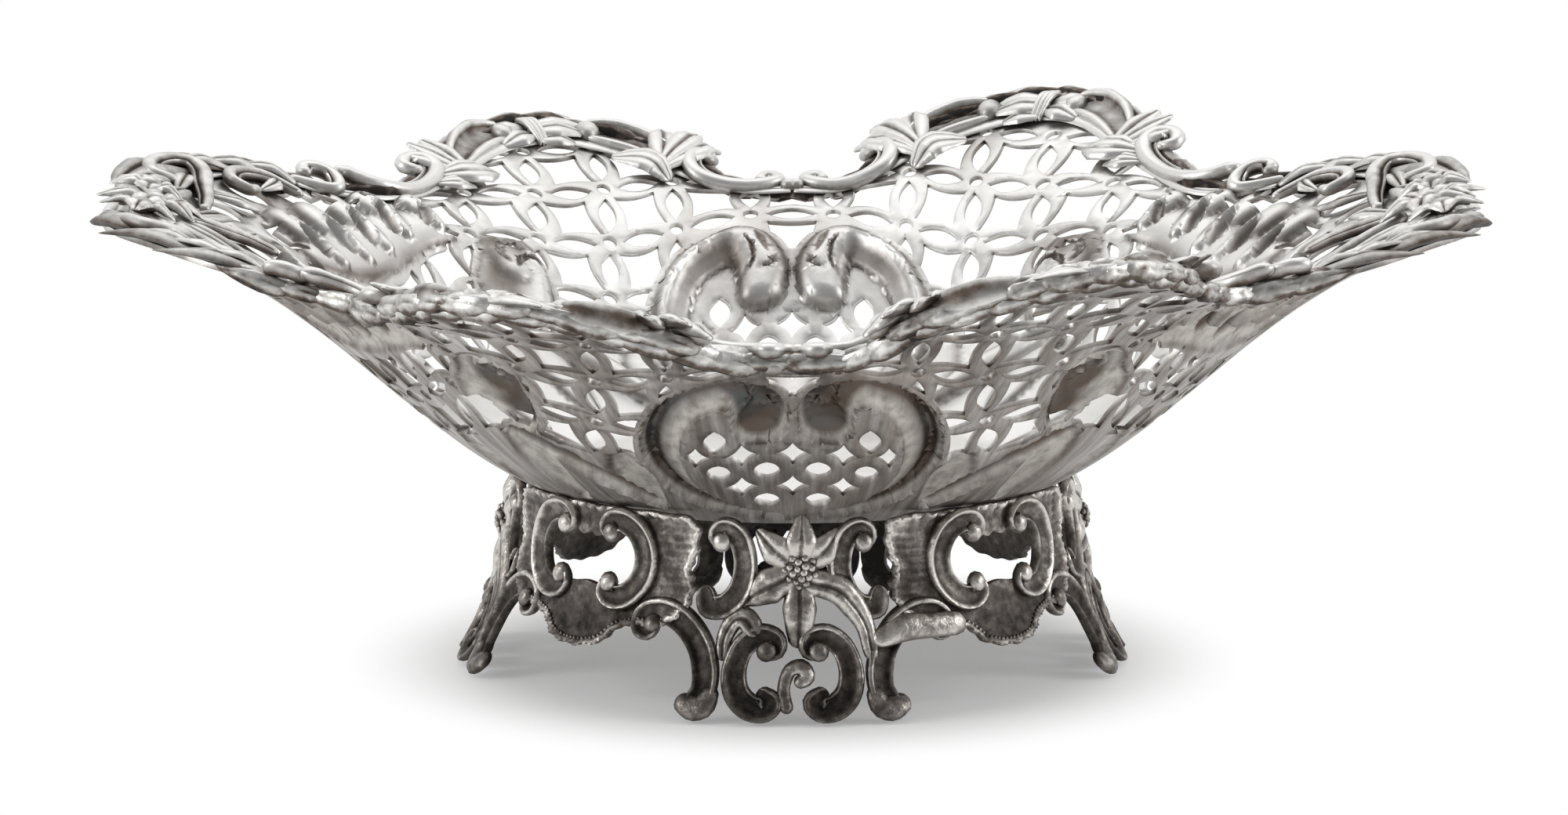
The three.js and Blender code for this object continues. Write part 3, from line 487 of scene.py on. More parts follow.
cartouche = {
    "halfWidth": 21.5,
    "height": 36,
    "foot": 1.2,
    "band": {  # places in shares of half width and height
        "path": [(0.04, 0.03), (0.38, 0.08), (0.68, 0.21), (0.85, 0.4), (0.87, 0.6), (0.74, 0.78),
                 (0.5, 0.86), (0.34, 0.84)],
        "widthShares": [0.2, 0.42, 0.7, 0.9, 1, 1, 1, 0.9],
        "width": 6.4,
        "relief": 2.3,
        "shape": "outer",
    },
    "head": {
        "path": [(0.6, 0.9), (0.42, 0.905), (0.28, 0.85), (0.205, 0.74), (0.21, 0.63)],
        "widthShares": [0.35, 0.6, 0.88, 1, 0.9],
        "width": 7.8,
        "relief": 2.4,
        "shape": "head",
    },
    "cutShares": (0.2, 1, 1, 0.4),
    "cuts": [  # curved cuts in the head: path in shares, width, depth
        ([(0.35, 0.89), (0.275, 0.83), (0.265, 0.75), (0.33, 0.68)], 0.9, 0.55),
        ([(0.26, 0.905), (0.2, 0.85), (0.165, 0.78)], 1.2, 0.3),
        ([(0.23, 0.705), (0.15, 0.725), (0.095, 0.78)], 0.9, 0.7),
    ],
}

comma = {
    "along": 45,
    "rise": 19,
    "width": 12,
    "height": 20,
    "scroll": {
        "path": [(-0.25, 0.86), (-0.12, 0.62), (0.1, 0.4), (0.22, 0.26)],
        "widthShares": [0.7, 0.9, 1, 0.85],
        "width": 11.5,
        "relief": 2.4,
        "shape": "outer",
    },
    "head": {
        "path": [(-0.3, 0.85), (-0.2, 0.75), (-0.1, 0.6)],
        "widthShares": [0.85, 1, 0.8],
        "width": 9.6,
        "relief": 2.4,
        "shape": "head",
    },
    "cutShares": (0.3, 1, 1, 0.3),
    "cuts": [
        ([(-0.34, 0.92), (-0.14, 0.87), (-0.02, 0.77), (-0.04, 0.66)], 1.2, 0.75),
        ([(-0.08, 0.6), (-0.22, 0.7), (-0.38, 0.72), (-0.5, 0.59)], 1.2, 0.75),
    ],
}

shell = {
    "fan": {  # degrees from the side's middle, and radii
        "path": [(45, 76), (50, 78.5), (57, 80.5), (64, 81.5), (70, 84.5)],
        "widthShares": [0.5, 0.95, 1, 0.95, 0.6],
        "width": 11,
        "relief": 1.1,
        "shape": "round",
    },
    "lobes": [  # bearing, inner and outer radius, width
        (45.5, 76, 83, 5.4),
        (50.8, 77.5, 86.5, 6.6),
        (56.2, 78.5, 88.5, 7.2),
        (61.8, 79.5, 89.5, 7.2),
        (67.6, 81, 91, 6.8),
    ],
    "lobeWidthShares": (0.5, 0.8, 1, 1),
    "relief": 1.9,
    "scoops": [  # bearing, inner and outer radius, width, depth
        (45.6, 77, 82, 2.6, 1.4),
        (51, 78.5, 85.2, 3.4, 1.8),
        (56.4, 80, 87, 3.8, 2),
        (62, 81, 88, 3.8, 2),
        (67.8, 82.5, 89.6, 3.4, 1.8),
    ],
    "scoopLean": (1.2, 0.2, -0.6),  # degrees that a scoop leans by at its start, middle and end
    "scoopWidthShares": (0.35, 0.8, 1, 0.8, 0.4),
    "huskAngle": 79,
    "huskRise": 31,
    "huskLength": 20,
    "huskWidth": 5,
    "huskWidthShares": (0.5, 1, 0.9, 0.2),
}

lowFlute = {
    "angles": (26, 43, 60, 78),
    "rise": 5,
    "length": 14,
    "width": 7,
    "relief": 1,
    "widthShares": (0.2, 0.7, 1, 0.5),
    "leaf": {  # a long leaf that leans away from the cartouche, in degrees from the side's middle and radii
        "path": [(27, 42), (33, 49.5), (39, 53.5), (45, 55.5)],
        "widthShares": [0.25, 0.9, 1, 0.2],
        "width": 6,
        "relief": 1.9,
        "shape": "round",
    },
}


def cartouchePlace(shares):
    shares = np.asarray(shares, float)
    return np.stack([
        shares[..., 0] * cartouche["halfWidth"],
        floorRadius + cartouche["foot"] + shares[..., 1] * cartouche["height"],
    ], axis=-1)


def commaPlace(shares):
    shares = np.asarray(shares, float)
    middle = floorRadius + comma["rise"] + comma["height"] / 2
    radius = floorRadius + comma["rise"] + shares[..., 1] * comma["height"]
    return polar(np.degrees((comma["along"] + shares[..., 0] * comma["width"]) / middle), radius)


def polarPlace(path):
    return polar(*np.array(path, float).T)


def formStroke(place, form):
    return makeStroke(place(form["path"]), form["widthShares"], form["width"], form["relief"], form["shape"])


def radialStroke(angle, rise, length, widthShares, width, relief):
    points = polar(np.full(3, angle), floorRadius + rise + length * np.array([0, 0.5, 1]))
    return makeStroke(points, widthShares, width, relief)


def embossedStrokes():
    strokes = [
        formStroke(cartouchePlace, cartouche["band"]),
        formStroke(cartouchePlace, cartouche["head"]),
        formStroke(commaPlace, comma["scroll"]),
        formStroke(commaPlace, comma["head"]),
        formStroke(polarPlace, shell["fan"]),
    ]
    for angle, low, high, width in shell["lobes"]:
        strokes.append(radialStroke(angle, low - floorRadius, high - low, shell["lobeWidthShares"], width,
                                    shell["relief"]))
    strokes.append(radialStroke(shell["huskAngle"], shell["huskRise"], shell["huskLength"],
                                shell["huskWidthShares"], shell["huskWidth"], shell["relief"]))
    for angle in lowFlute["angles"]:
        strokes.append(radialStroke(angle, lowFlute["rise"], lowFlute["length"], lowFlute["widthShares"],
                                    lowFlute["width"], lowFlute["relief"]))
    return strokes + [formStroke(polarPlace, lowFlute["leaf"])]


def chasedCuts():
    cuts = [makeStroke(place(path), plan["cutShares"], width, depth)
            for place, plan in ((cartouchePlace, cartouche), (commaPlace, comma))
            for path, width, depth in plan["cuts"]]
    for angle, low, high, width, depth in shell["scoops"]:
        path = polar(angle + np.array(shell["scoopLean"]), np.array([low, (low + high) / 2, high]))
        cuts.append(makeStroke(path, shell["scoopWidthShares"], width, depth))
    return cuts


# Pierced openings

lattice = {
    "pitch": 11.8,
    "topRow": 61.8,
    "rowPitch": 11,
    "rows": 5,
    "columns": 9,
    "endBearing": 60,  # past this bearing the lattice stays below the shell
    "endRadius": 75,
    "lastBearing": 84,
    "lensLength": 7.3,
    "lensWidth": 2.9,
    "ringOpening": 7.1,
    "ringPull": 0.55,  # how far the sides of a ring's middle bow inward
    "pinHole": 2.2,
    "strap": 1.1,
    "plainRise": 19,
    "smallest": 1.4,  # area below which an opening is filled
    "overlap": -0.1,  # openings whose middle lies past this x belong to the mirrored half
}

trellis = {
    "pitch": 6.8,
    "rowPitch": 3.6,
    "diamond": 3.3,
    "diamondPull": 0.32,
    "round": 2.55,
    "roundPull": -0.42,
    "rows": 4,
    "columns": 2,  # to one side of the middle, in the top row
    "top": 18.1,
    "dropShares": (0.5, 0.57),
    "dropLength": 5.2,
    "dropWidth": 3.4,
}

endPiercing = {
    "rises": (44, 53, 62),
    "angle": 4.3,
    "count": 6,
    "length": 8,
    "strap": 1.3,
}


def turned(points, centre, axis):
    across = np.array([-axis[1], axis[0]])
    return centre + points[:, :1] * axis + points[:, 1:] * across


def lensOutline(centre, axis, length, width, steps=9):
    place = np.linspace(-1, 1, steps)
    bow = (1 - place ** 2) * width / 2
    points = np.concatenate([
        np.stack([place, bow], axis=1)[:-1],
        np.stack([-place, -bow], axis=1)[:-1],
    ]) * np.array([length / 2, 1])
    return turned(points, centre, axis)


def squareOutline(centre, axis, size, pull, steps=6):
    corners = np.array([(-1, -1), (1, -1), (1, 1), (-1, 1)]) * size / 2
    points = []
    for index in range(4):
        start, end = corners[index], corners[(index + 1) % 4]
        for step in range(steps):
            share = step / steps
            bow = pull * math.sin(share * math.pi)
            middle = (start + end) / 2
            points.append(start + (end - start) * share - middle / np.linalg.norm(middle) * bow)
    return turned(np.array(points), centre, axis)


def roundOutline(centre, size, steps=14):
    angle = np.arange(steps) / steps * fullTurn
    return centre + size / 2 * np.stack([np.cos(angle), np.sin(angle)], axis=1)


def unit(vector):
    return vector / np.linalg.norm(vector)


def latticeNode(column, row):
    radius = floorRadius + lattice["topRow"] - lattice["rowPitch"] * row
    return polar(math.degrees((column + 0.5) * lattice["pitch"] / radius), radius)


def latticeOpenings():
    openings = []
    lowest = floorRadius + lattice["plainRise"]
    for row in range(lattice["rows"]):
        for column in range(-1, lattice["columns"]):
            corner = latticeNode(column, row)
            right = latticeNode(column + 1, row)
            above = latticeNode(column, row + 1)
            far = latticeNode(column + 1, row + 1)
            centre = (corner + right + above + far) / 4
            along, up = unit(right - corner), unit(above - corner)
            openings += [
                squareOutline(centre, along, lattice["ringOpening"], lattice["ringPull"]),
                lensOutline((corner + right) / 2, along, lattice["lensLength"], lattice["lensWidth"]),
                lensOutline((corner + above) / 2, up, lattice["lensLength"], lattice["lensWidth"]),
                roundOutline(corner, lattice["pinHole"]),
            ]
    kept = []
    for outline in openings:
        middle = outline.mean(axis=0)
        radius, bearing = np.hypot(*middle), math.degrees(math.atan2(middle[0], middle[1]))
        low = bearing < lattice["endBearing"] or radius < lattice["endRadius"]
        mine = middle[0] > lattice["overlap"]
        if mine and radius > lowest and low and bearing < lattice["lastBearing"]:
            kept.append(outline)
    return kept


def endOpenings():
    openings = []
    for row, rise in enumerate(endPiercing["rises"]):
        radius = floorRadius + rise
        width = math.radians(endPiercing["angle"]) * radius - endPiercing["strap"]
        for index in range(endPiercing["count"]):
            centre = polar(90 - (index + row / 2) * endPiercing["angle"], radius)
            openings.append(lensOutline(centre, unit(centre), endPiercing["length"], width))
    return openings


def trellisOpenings():
    openings = []
    diagonal = unit(np.array([1.0, 1.0]))
    for row in range(trellis["rows"]):
        radius = floorRadius + trellis["top"] - row * trellis["rowPitch"]
        kind = "round" if row % 2 else "diamond"
        for column in range(int(trellis["columns"] - row / 2) + 1):
            centre = np.array([(column + (row % 2) / 2) * trellis["pitch"], radius])
            openings.append(squareOutline(centre, diagonal, trellis[kind], trellis[f"{kind}Pull"]))
    drop = cartouchePlace(trellis["dropShares"])
    openings.append(lensOutline(drop, np.array([0.0, 1.0]), trellis["dropLength"], trellis["dropWidth"]))
    return openings


def mirrored(outline, signX, signY):
    flipped = outline * np.array([signX, signY])
    return flipped if signX * signY > 0 else flipped[::-1]


def fourFold(outlines, onAxis=0.3):
    # outlines whose middle is this close to an axis are their own mirror image
    folded = []
    for signX, signY in ((1, 1), (1, -1), (-1, 1), (-1, -1)):
        for outline in outlines:
            x, y = np.abs(outline.mean(axis=0))
            if not (signX < 0 and x < onAxis or signY < 0 and y < onAxis):
                folded.append(mirrored(outline, signX, signY))
    return folded


# The bowl's sheet, triangulated flat and then bent

bowlMesh = {
    "rimInset": 1.4,
    "rimPoints": 640,
    "cutGrid": 0.5,
    "fineGrid": 0.76,
    "coarseGrid": 2.1,
    "reach": 135,
    "rowShare": 0.866,  # rows of a triangular grid over its spacing
    "ringPoints": 180,  # round the edge of the flat floor
    "cutMargin": 0.3,  # how far past the cuts and the raised forms their grids go
    "reliefMargin": 0.8,
    "edgeSoftness": 0.3,  # distance over which a cut edge is rounded
    "edgeThinShare": 0.78,
    "creaseBelow": 0.5,  # how dark the creases of the outside are
    "sharpAngle": 38,
}


def hexGrid(spacing, reach):
    rise = bowlMesh["rowShare"]
    rows = int(reach / (spacing * rise)) + 1
    points = []
    for row in range(-rows, rows + 1):
        shift = spacing / 2 if row % 2 else 0
        across = np.arange(-reach, reach, spacing) + shift
        points.append(np.stack([across, np.full(len(across), row * spacing * rise)], axis=1))
    return np.concatenate(points)


def signedArea(outline):
    ahead = np.roll(outline, -1, axis=0)
    return np.sum(outline[:, 0] * ahead[:, 1] - outline[:, 1] * ahead[:, 0])


def offsetOutline(outline, distance):
    tangent = np.roll(outline, -1, axis=0) - np.roll(outline, 1, axis=0)
    tangent /= np.maximum(np.linalg.norm(tangent, axis=1), 1e-9)[:, None]
    normal = np.stack([tangent[:, 1], -tangent[:, 0]], axis=1) * np.sign(signedArea(outline))
    return outline + normal * distance


def edgeGap(stroke, across, along):
    size = np.interp(along, np.linspace(0, 1, len(stroke["half"])), stroke["half"])
    return (np.abs(across) - 1) * size


def nearRelief(flat, strokes, margin):
    near = np.zeros(len(flat), bool)
    for stroke in strokes:
        near |= edgeGap(stroke, *strokeField(stroke, np.abs(flat))) < margin
    return near


def reliefAt(flat, strokes, grooves):
    # height in millimetres, height as a share of each form's own relief, and how close a crease is
    folded = np.abs(flat)
    height, level, crease = np.zeros(len(flat)), np.zeros(len(flat)), np.zeros(len(flat))
    least = strokePlan["endShare"]
    for stroke in strokes:
        across, along = strokeField(stroke, folded)
        inside = np.abs(across) < 1
        start, end = strokePlan["fades"][stroke["shape"]]
        fade = np.clip(np.minimum((along * stroke["length"] + 0.01) / start,
                                  ((1 - along) * stroke["length"] + 0.01) / end), 0, 1)
        share = profileHeight(stroke["shape"], across) * (least + (1 - least) * np.sqrt(fade))
        rise = share * stroke["relief"]
        level = np.where(inside & (rise > height), share, level)
        height = np.where(inside, np.maximum(height, rise), height)
        gap = edgeGap(stroke, across, along)
        crease = np.maximum(crease, np.exp(-(gap / strokePlan["creaseWidth"]) ** 2))
    crease *= np.interp(level, *strokePlan["creaseLevels"])
    for stroke in grooves:
        across, along = strokeField(stroke, folded)
        fade = np.sin(np.clip(along, 0, 1) * math.pi) ** 0.5
        depth = np.where(np.abs(across) < 1, profileHeight("groove", across), 0) * fade
        fine, broad = strokePlan["cutCreases"]
        dark = fine if stroke["half"].max() < strokePlan["fineCut"] else broad
        height += depth * stroke["relief"]
        level = np.clip(level + strokePlan["cutLevel"] * depth, 0, 1)
        crease = np.maximum(crease, -depth * dark)
    return height, level, crease


def triangulateSheet(outlines, kinds, loose):
    # each triangle's label holds the kinds of the outlines that it lies in
    coords, faces = [], []
    for outline in outlines:
        if signedArea(outline) < 0:
            outline = outline[::-1]
        start = len(coords)
        coords += [Vector(point) for point in outline]
        faces.append(list(range(start, start + len(outline))))
    coords += [Vector(point) for point in loose]
    made, _, triangles, _, _, owners = geometry.delaunay_2d_cdt(coords, [], faces, 0, 1e-4, True)
    flat = np.array([tuple(point) for point in made])
    labels = [{kinds[owner] for owner in owning} for owning in owners]
    return flat, np.array([tuple(triangle) for triangle in triangles]), labels


def cornerTurn(flat, triangles):
    edges = flat[triangles]
    return np.cross(edges[:, 1] - edges[:, 0], edges[:, 2] - edges[:, 0])


def withoutSpecks(flat, triangles, cut, smallest):
    # fills openings that are too small to have been sawn
    sides = {}
    for index in np.flatnonzero(cut):
        corners = triangles[index]
        for corner in range(3):
            side = tuple(sorted((corners[corner], corners[(corner + 1) % 3])))
            sides.setdefault(side, []).append(index)
    neighbours = {}
    for pair in sides.values():
        if len(pair) == 2:
            neighbours.setdefault(pair[0], []).append(pair[1])
            neighbours.setdefault(pair[1], []).append(pair[0])
    areas = np.abs(cornerTurn(flat, triangles)) / 2
    seen = set()
    for first in np.flatnonzero(cut):
        if first in seen:
            continue
        group, queue = [], [first]
        seen.add(first)
        while queue:
            current = queue.pop()
            group.append(current)
            for other in neighbours.get(current, ()):
                if other not in seen:
                    seen.add(other)
                    queue.append(other)
        if areas[group].sum() < smallest:
            cut[group] = False
    return cut


def platedFaces(flat, triangles):
    # an upper and a lower face for each triangle, walls round their open sides, and those sides
    turn = cornerTurn(flat, triangles)
    triangles[turn < 0] = triangles[turn < 0][:, ::-1]
    sides = np.concatenate([triangles[:, [0, 1]], triangles[:, [1, 2]], triangles[:, [2, 0]]])
    keys = {tuple(side) for side in sides.tolist()}
    bare = sorted((b, a) for a, b in keys if (b, a) not in keys)
    count = len(flat)
    walls = [(b, a, a + count, b + count) for b, a in bare]
    return triangles.tolist() + (triangles[:, ::-1] + count).tolist() + walls, bare


def finishedMesh(name, points, faces, marks, sharpAngle):
    # marks are point attributes that the materials read
    mesh = bpy.data.meshes.new(name)
    mesh.from_pydata((points * mm).tolist(), [], faces)
    for mark, values in marks.items():
        layer = mesh.attributes.new(mark, "FLOAT", "POINT")
        layer.data.foreach_set("value", values.astype(np.float32))
    mesh.shade_smooth()
    mesh.set_sharp_from_angle(angle=math.radians(sharpAngle))
    return mesh


def sheetOutlines(strokes):
    # the rim, the openings, the forms that close openings, and the fields of the cartouches
    count = bowlMesh["rimPoints"]
    rim = atRim(np.arange(count) / count * rimLength, np.full(count, bowlMesh["rimInset"]))[::-1]
    band = cartouchePlace(cartouche["band"]["path"])
    field = denseLoop(np.concatenate([band, (band * np.array([-1, 1]))[::-1]]))
    forms = [denseLoop(strokeOutline(stroke, lattice["strap"])) for stroke in strokes]
    groups = {
        "rim": [rim],
        "lattice": fourFold(latticeOpenings() + endOpenings()),
        "trellis": fourFold(trellisOpenings()),
        "solid": [outline for form in forms for outline in fourFold([form])],
        "field": [mirrored(field, 1, signY) for signY in (1, -1)],
    }
    softness = bowlMesh["edgeSoftness"]
    soft = [offsetOutline(rim, -softness)]
    soft += [offsetOutline(outline, softness) for kind in ("lattice", "trellis") for outline in groups[kind]]
    outlines = [outline for group in groups.values() for outline in group]
    return outlines, [kind for kind, group in groups.items() for _ in group], soft


def bowlSheet():
    strokes, cuts = embossedStrokes(), chasedCuts()
    outlines, kinds, soft = sheetOutlines(strokes)
    finest, fine, coarse = (
        hexGrid(bowlMesh[grid], bowlMesh["reach"]) for grid in ("cutGrid", "fineGrid", "coarseGrid"))
    cutMargin, reliefMargin = bowlMesh["cutMargin"], bowlMesh["reliefMargin"]
    ringPoints = bowlMesh["ringPoints"]
    loose = np.concatenate([
        finest[nearRelief(finest, cuts, cutMargin)],
        fine[nearRelief(fine, strokes, reliefMargin) & ~nearRelief(fine, cuts, cutMargin)],
        coarse[~nearRelief(coarse, strokes, reliefMargin)],
        polar(np.arange(ringPoints) * (360 / ringPoints), np.full(ringPoints, floorRadius)),
        *soft,
    ])
    flat, triangles, labels = triangulateSheet(outlines, kinds, loose)
    inside = np.array(["rim" in label for label in labels])
    cut = inside & np.array([
        "solid" not in label and ("trellis" in label or ("lattice" in label and "field" not in label))
        for label in labels])
    cut = withoutSpecks(flat, triangles, cut, lattice["smallest"])
    triangles = triangles[inside & ~cut]
    used = np.unique(triangles)
    flat, triangles = flat[used], np.searchsorted(used, triangles)

    faces, bare = platedFaces(flat, triangles)
    height, level, crease = reliefAt(flat, strokes, cuts)
    none, full = np.zeros(len(flat)), np.ones(len(flat))
    thin, edge = full.copy(), none.copy()
    border = np.unique(bare)
    thin[border] = bowlMesh["edgeThinShare"]
    edge[border] = 1
    point, normal = sheetPoint(flat), sheetNormal(flat)
    depth = (sheetForm["thickness"] / 2 * thin)[:, None] * normal
    middle = point + height[:, None] * normal
    hollow = np.clip(height / cartouche["band"]["relief"], 0, 1)
    sides = {  # marks of the inner and of the outer side
        "outerSide": (none, full),
        "raised": (level, none),
        "hollow": (none, hollow),
        "crease": (crease, crease * bowlMesh["creaseBelow"]),
        "edge": (edge, edge),
    }
    marks = {mark: np.concatenate(pair) for mark, pair in sides.items()}
    points = np.concatenate([middle + depth, middle - depth])
    return finishedMesh("bowlSheet", points, faces, marks, bowlMesh["sharpAngle"])


def addPiece(name, mesh, material, slot, *nodes):
    piece = placeObject(name, mesh)
    mesh.materials.append(material)
    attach(piece, "root")
    if nodes:
        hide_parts(*nodes)
    return piece


# Castings: bars swept along paths in local places (along, across, height), then bent onto the object

sections = {  # outlines round a bar: across (1 is the hollow side of a bend), up, and its wear-and-shade mark there: high on worn crests, low for patina in recesses and for painted shade on undersides and outer flanks
    "tube": [(1.14, 0.35, 0.5), (1.02, 0.55, 0.8), (0.84, 0.42, -0.2), (0.68, 0.3, -0.8), (0.5, 0.58, 0.1),
             (0.2, 0.86, 0.9), (-0.2, 0.95, 1), (-0.6, 0.8, 0.9), (-0.9, 0.45, 0.6), (-1, 0, 0.1),
             (-0.7, -0.6, -0.5), (0, -0.9, -0.7), (0.7, -0.6, -0.6), (1.1, -0.1, -0.2)],
    "trough": [(1, -0.5, -0.4), (1.06, 0.2, 0.3), (0.98, 0.62, 0.9), (0.8, 0.74, 1), (0.62, 0.6, 0.5),
               (0.5, 0.3, -0.5), (0.25, 0.12, -0.2), (0, 0.1, -0.05), (-0.3, 0.14, -0.2),
               (-0.55, 0.34, -0.5), (-0.66, 0.6, 0.4), (-0.82, 0.72, 0.9), (-0.98, 0.6, 0.3),
               (-1.05, 0.2, -0.4), (-1, -0.4, -0.1), (-0.64, -0.8, 0.6), (-0.34, -0.46, -0.5),
               (0, -0.9, 0.7), (0.34, -0.46, -0.5), (0.64, -0.8, 0.6)],
    "scroll": [(1, -0.5, -0.5), (1.03, 0.2, 0.2), (0.94, 0.44, 0.9), (0.82, 0.36, 0.2), (0.68, 0.04, -0.8),
               (0.36, -0.04, -0.5), (0.02, 0.02, -0.4), (-0.26, 0.14, -0.5), (-0.44, 0.3, -0.1),
               (-0.6, 0.56, 0.7), (-0.78, 0.62, 0.9), (-0.96, 0.36, 0.3), (-1.02, -0.1, -0.3),
               (-0.95, -0.5, -0.5), (0, -0.6, -0.8)],
    "leaf": [(1, 0, 0.3), (0.84, 0.28, 0.8), (0.5, 0.46, 0.9), (0.2, 0.42, 0.5), (0.06, 0.3, -0.35),
             (-0.06, 0.3, -0.35), (-0.2, 0.42, 0.5), (-0.5, 0.46, 0.9), (-0.84, 0.28, 0.8), (-1, 0, 0.3),
             (-0.5, -0.3, -0.5), (0.5, -0.3, -0.5)],
    "ribbed": [(1, 0, 0.2), (0.92, 0.22, 0.8), (0.68, 0.4, 0.9), (0.44, 0.4, 0.6), (0.34, 0.3, -0.2),
               (0.24, 0.44, 0.6), (0, 0.52, 1), (-0.24, 0.44, 0.6), (-0.34, 0.3, -0.2), (-0.44, 0.4, 0.6),
               (-0.68, 0.4, 0.9), (-0.92, 0.22, 0.8), (-1, 0, 0.2), (-0.5, -0.3, -0.5), (0.5, -0.3, -0.5)],
}

barPlan = {
    "roundSides": 14,
    "roundWearAndShade": (0.3, 0.7),  # the wear-and-shade mark of a round bar at its sides, and how much more on top: wear above, painted shade below
    "fewest": 8,
    "rough": 40,  # points along which a path is first measured
    "capAngles": (78, 55, 30),  # rings that close an end, in degrees round its dome
    "endShare": 0.56,  # radius of the bead on a scroll's end over the scroll's width
    "endTall": 0.75,
    "bead": (7, 12),  # rows and columns of a bead
    "beadWearAndShade": 0.8,
    "sharpAngle": 62,
}


def roundSection():
    sides, (least, more) = barPlan["roundSides"], barPlan["roundWearAndShade"]
    turns = [fullTurn * step / sides for step in range(sides)]
    return [(math.cos(turn), math.sin(turn), least + more * math.sin(turn)) for turn in turns]


sections["round"] = roundSection()


def newCasting():
    return {"points": [], "faces": [], "wearAndShade": []}


def addClosed(casting, points, faces, wearAndShade):
    # turns a closed form outward, whichever way its places are bent
    corners = points[np.array([face[:3] for face in faces])]
    centre = points.mean(axis=0)
    first, second, third = (corners[:, corner] - centre for corner in range(3))
    volume = np.einsum("ij,ij->i", first, np.cross(second, third)).sum()
    start = sum(len(part) for part in casting["points"])
    casting["points"].append(points)
    casting["wearAndShade"].append(wearAndShade)
    casting["faces"] += [[start + index for index in (face if volume > 0 else face[::-1])] for face in faces]


def sweep(casting, place, path, widths, kind="round", tall=1.0, tilt=0.0, step=0.55, cap=1.0, shade=0.0):
    section = np.array(sections[kind])
    count, _ = measured(path, step, barPlan["fewest"], barPlan["rough"])
    centre = openSpline(path, count)
    half = np.interp(np.linspace(0, 1, count + 1), np.linspace(0, 1, len(widths)), widths) / 2
    tangent = unitRows(np.gradient(centre, axis=0))
    roundings = np.radians(barPlan["capAngles"])
    heads = [centre[0] - tangent[0] * half[0] * cap * math.sin(turn) for turn in roundings]
    tails = [centre[-1] + tangent[-1] * half[-1] * cap * math.sin(turn) for turn in roundings[::-1]]
    centre = np.concatenate([heads, centre, tails])
    half = np.concatenate([half[0] * np.cos(roundings), half, half[-1] * np.cos(roundings[::-1])])
    tangent = np.concatenate([
        np.repeat(tangent[:1], len(roundings), axis=0), tangent,
        np.repeat(tangent[-1:], len(roundings), axis=0)])
    side = np.stack([-tangent[:, 1], tangent[:, 0], 0 * half], axis=1)
    side /= np.maximum(np.linalg.norm(side, axis=1), 1e-6)[:, None]
    if kind in ("tube", "scroll"):
        bend = tangent[:-1, 0] * tangent[1:, 1] - tangent[:-1, 1] * tangent[1:, 0]
        side *= 1 if bend.sum() >= 0 else -1
    up = np.array([0.0, 0.0, 1.0])
    lean = math.radians(tilt)
    sideLean = side * math.cos(lean) + up * math.sin(lean)
    upLean = up * math.cos(lean) - side * math.sin(lean)
    rings = (centre[:, None] + half[:, None, None] * (
        section[None, :, :1] * sideLean[:, None] + tall * section[None, :, 1:2] * upLean[:, None]))
    rows, columns = rings.shape[:2]
    faces = [[row * columns + column, row * columns + (column + 1) % columns,
              (row + 1) * columns + (column + 1) % columns, (row + 1) * columns + column]
             for row in range(rows - 1) for column in range(columns)]
    faces.append(list(range(columns))[::-1])
    faces.append([(rows - 1) * columns + column for column in range(columns)])
    # shade lowers a whole bar's wear-and-shade mark: painted shade
    addClosed(casting, place(rings.reshape(-1, 3)), faces, np.tile(section[:, 2], rows) - shade)


def bead(casting, place, middle, radius, tall=1.0, wearAndShade=barPlan["beadWearAndShade"]):
    rows, columns = barPlan["bead"]
    points, faces = [(0, 0, radius * tall)], []
    for row in range(1, rows):
        lean = math.pi * row / rows
        points += [(radius * math.sin(lean) * math.cos(fullTurn * column / columns),
                    radius * math.sin(lean) * math.sin(fullTurn * column / columns),
                    radius * tall * math.cos(lean)) for column in range(columns)]
    points.append((0, 0, -radius * tall))
    *starts, last = (1 + row * columns for row in range(rows - 1))
    for column in range(columns):
        following = (column + 1) % columns
        faces.append([0, 1 + column, 1 + following])
        faces += [[start + column, start + columns + column, start + columns + following, start + following]
                  for start in starts]
        faces.append([last + column, len(points) - 1, last + following])
    points = np.array(points) + np.array(middle)
    # a bead is lighter on top and darker below: wear, and painted shade
    addClosed(casting, place(points), faces, np.clip((points[:, 2] - middle[2]) / radius, -1, 1) * wearAndShade)


def scrollEnd(casting, place, spot, width):
    bead(casting, place, spot, width * barPlan["endShare"], barPlan["endTall"])


def castingMesh(name, casting):
    points, wearAndShade = (np.concatenate(casting[part]) for part in ("points", "wearAndShade"))
    return finishedMesh(name, points, casting["faces"], {"wearAndShade": wearAndShade}, barPlan["sharpAngle"])


# Cast borders on the rim: places in millimetres along the rim from the middle of a side, inward and up

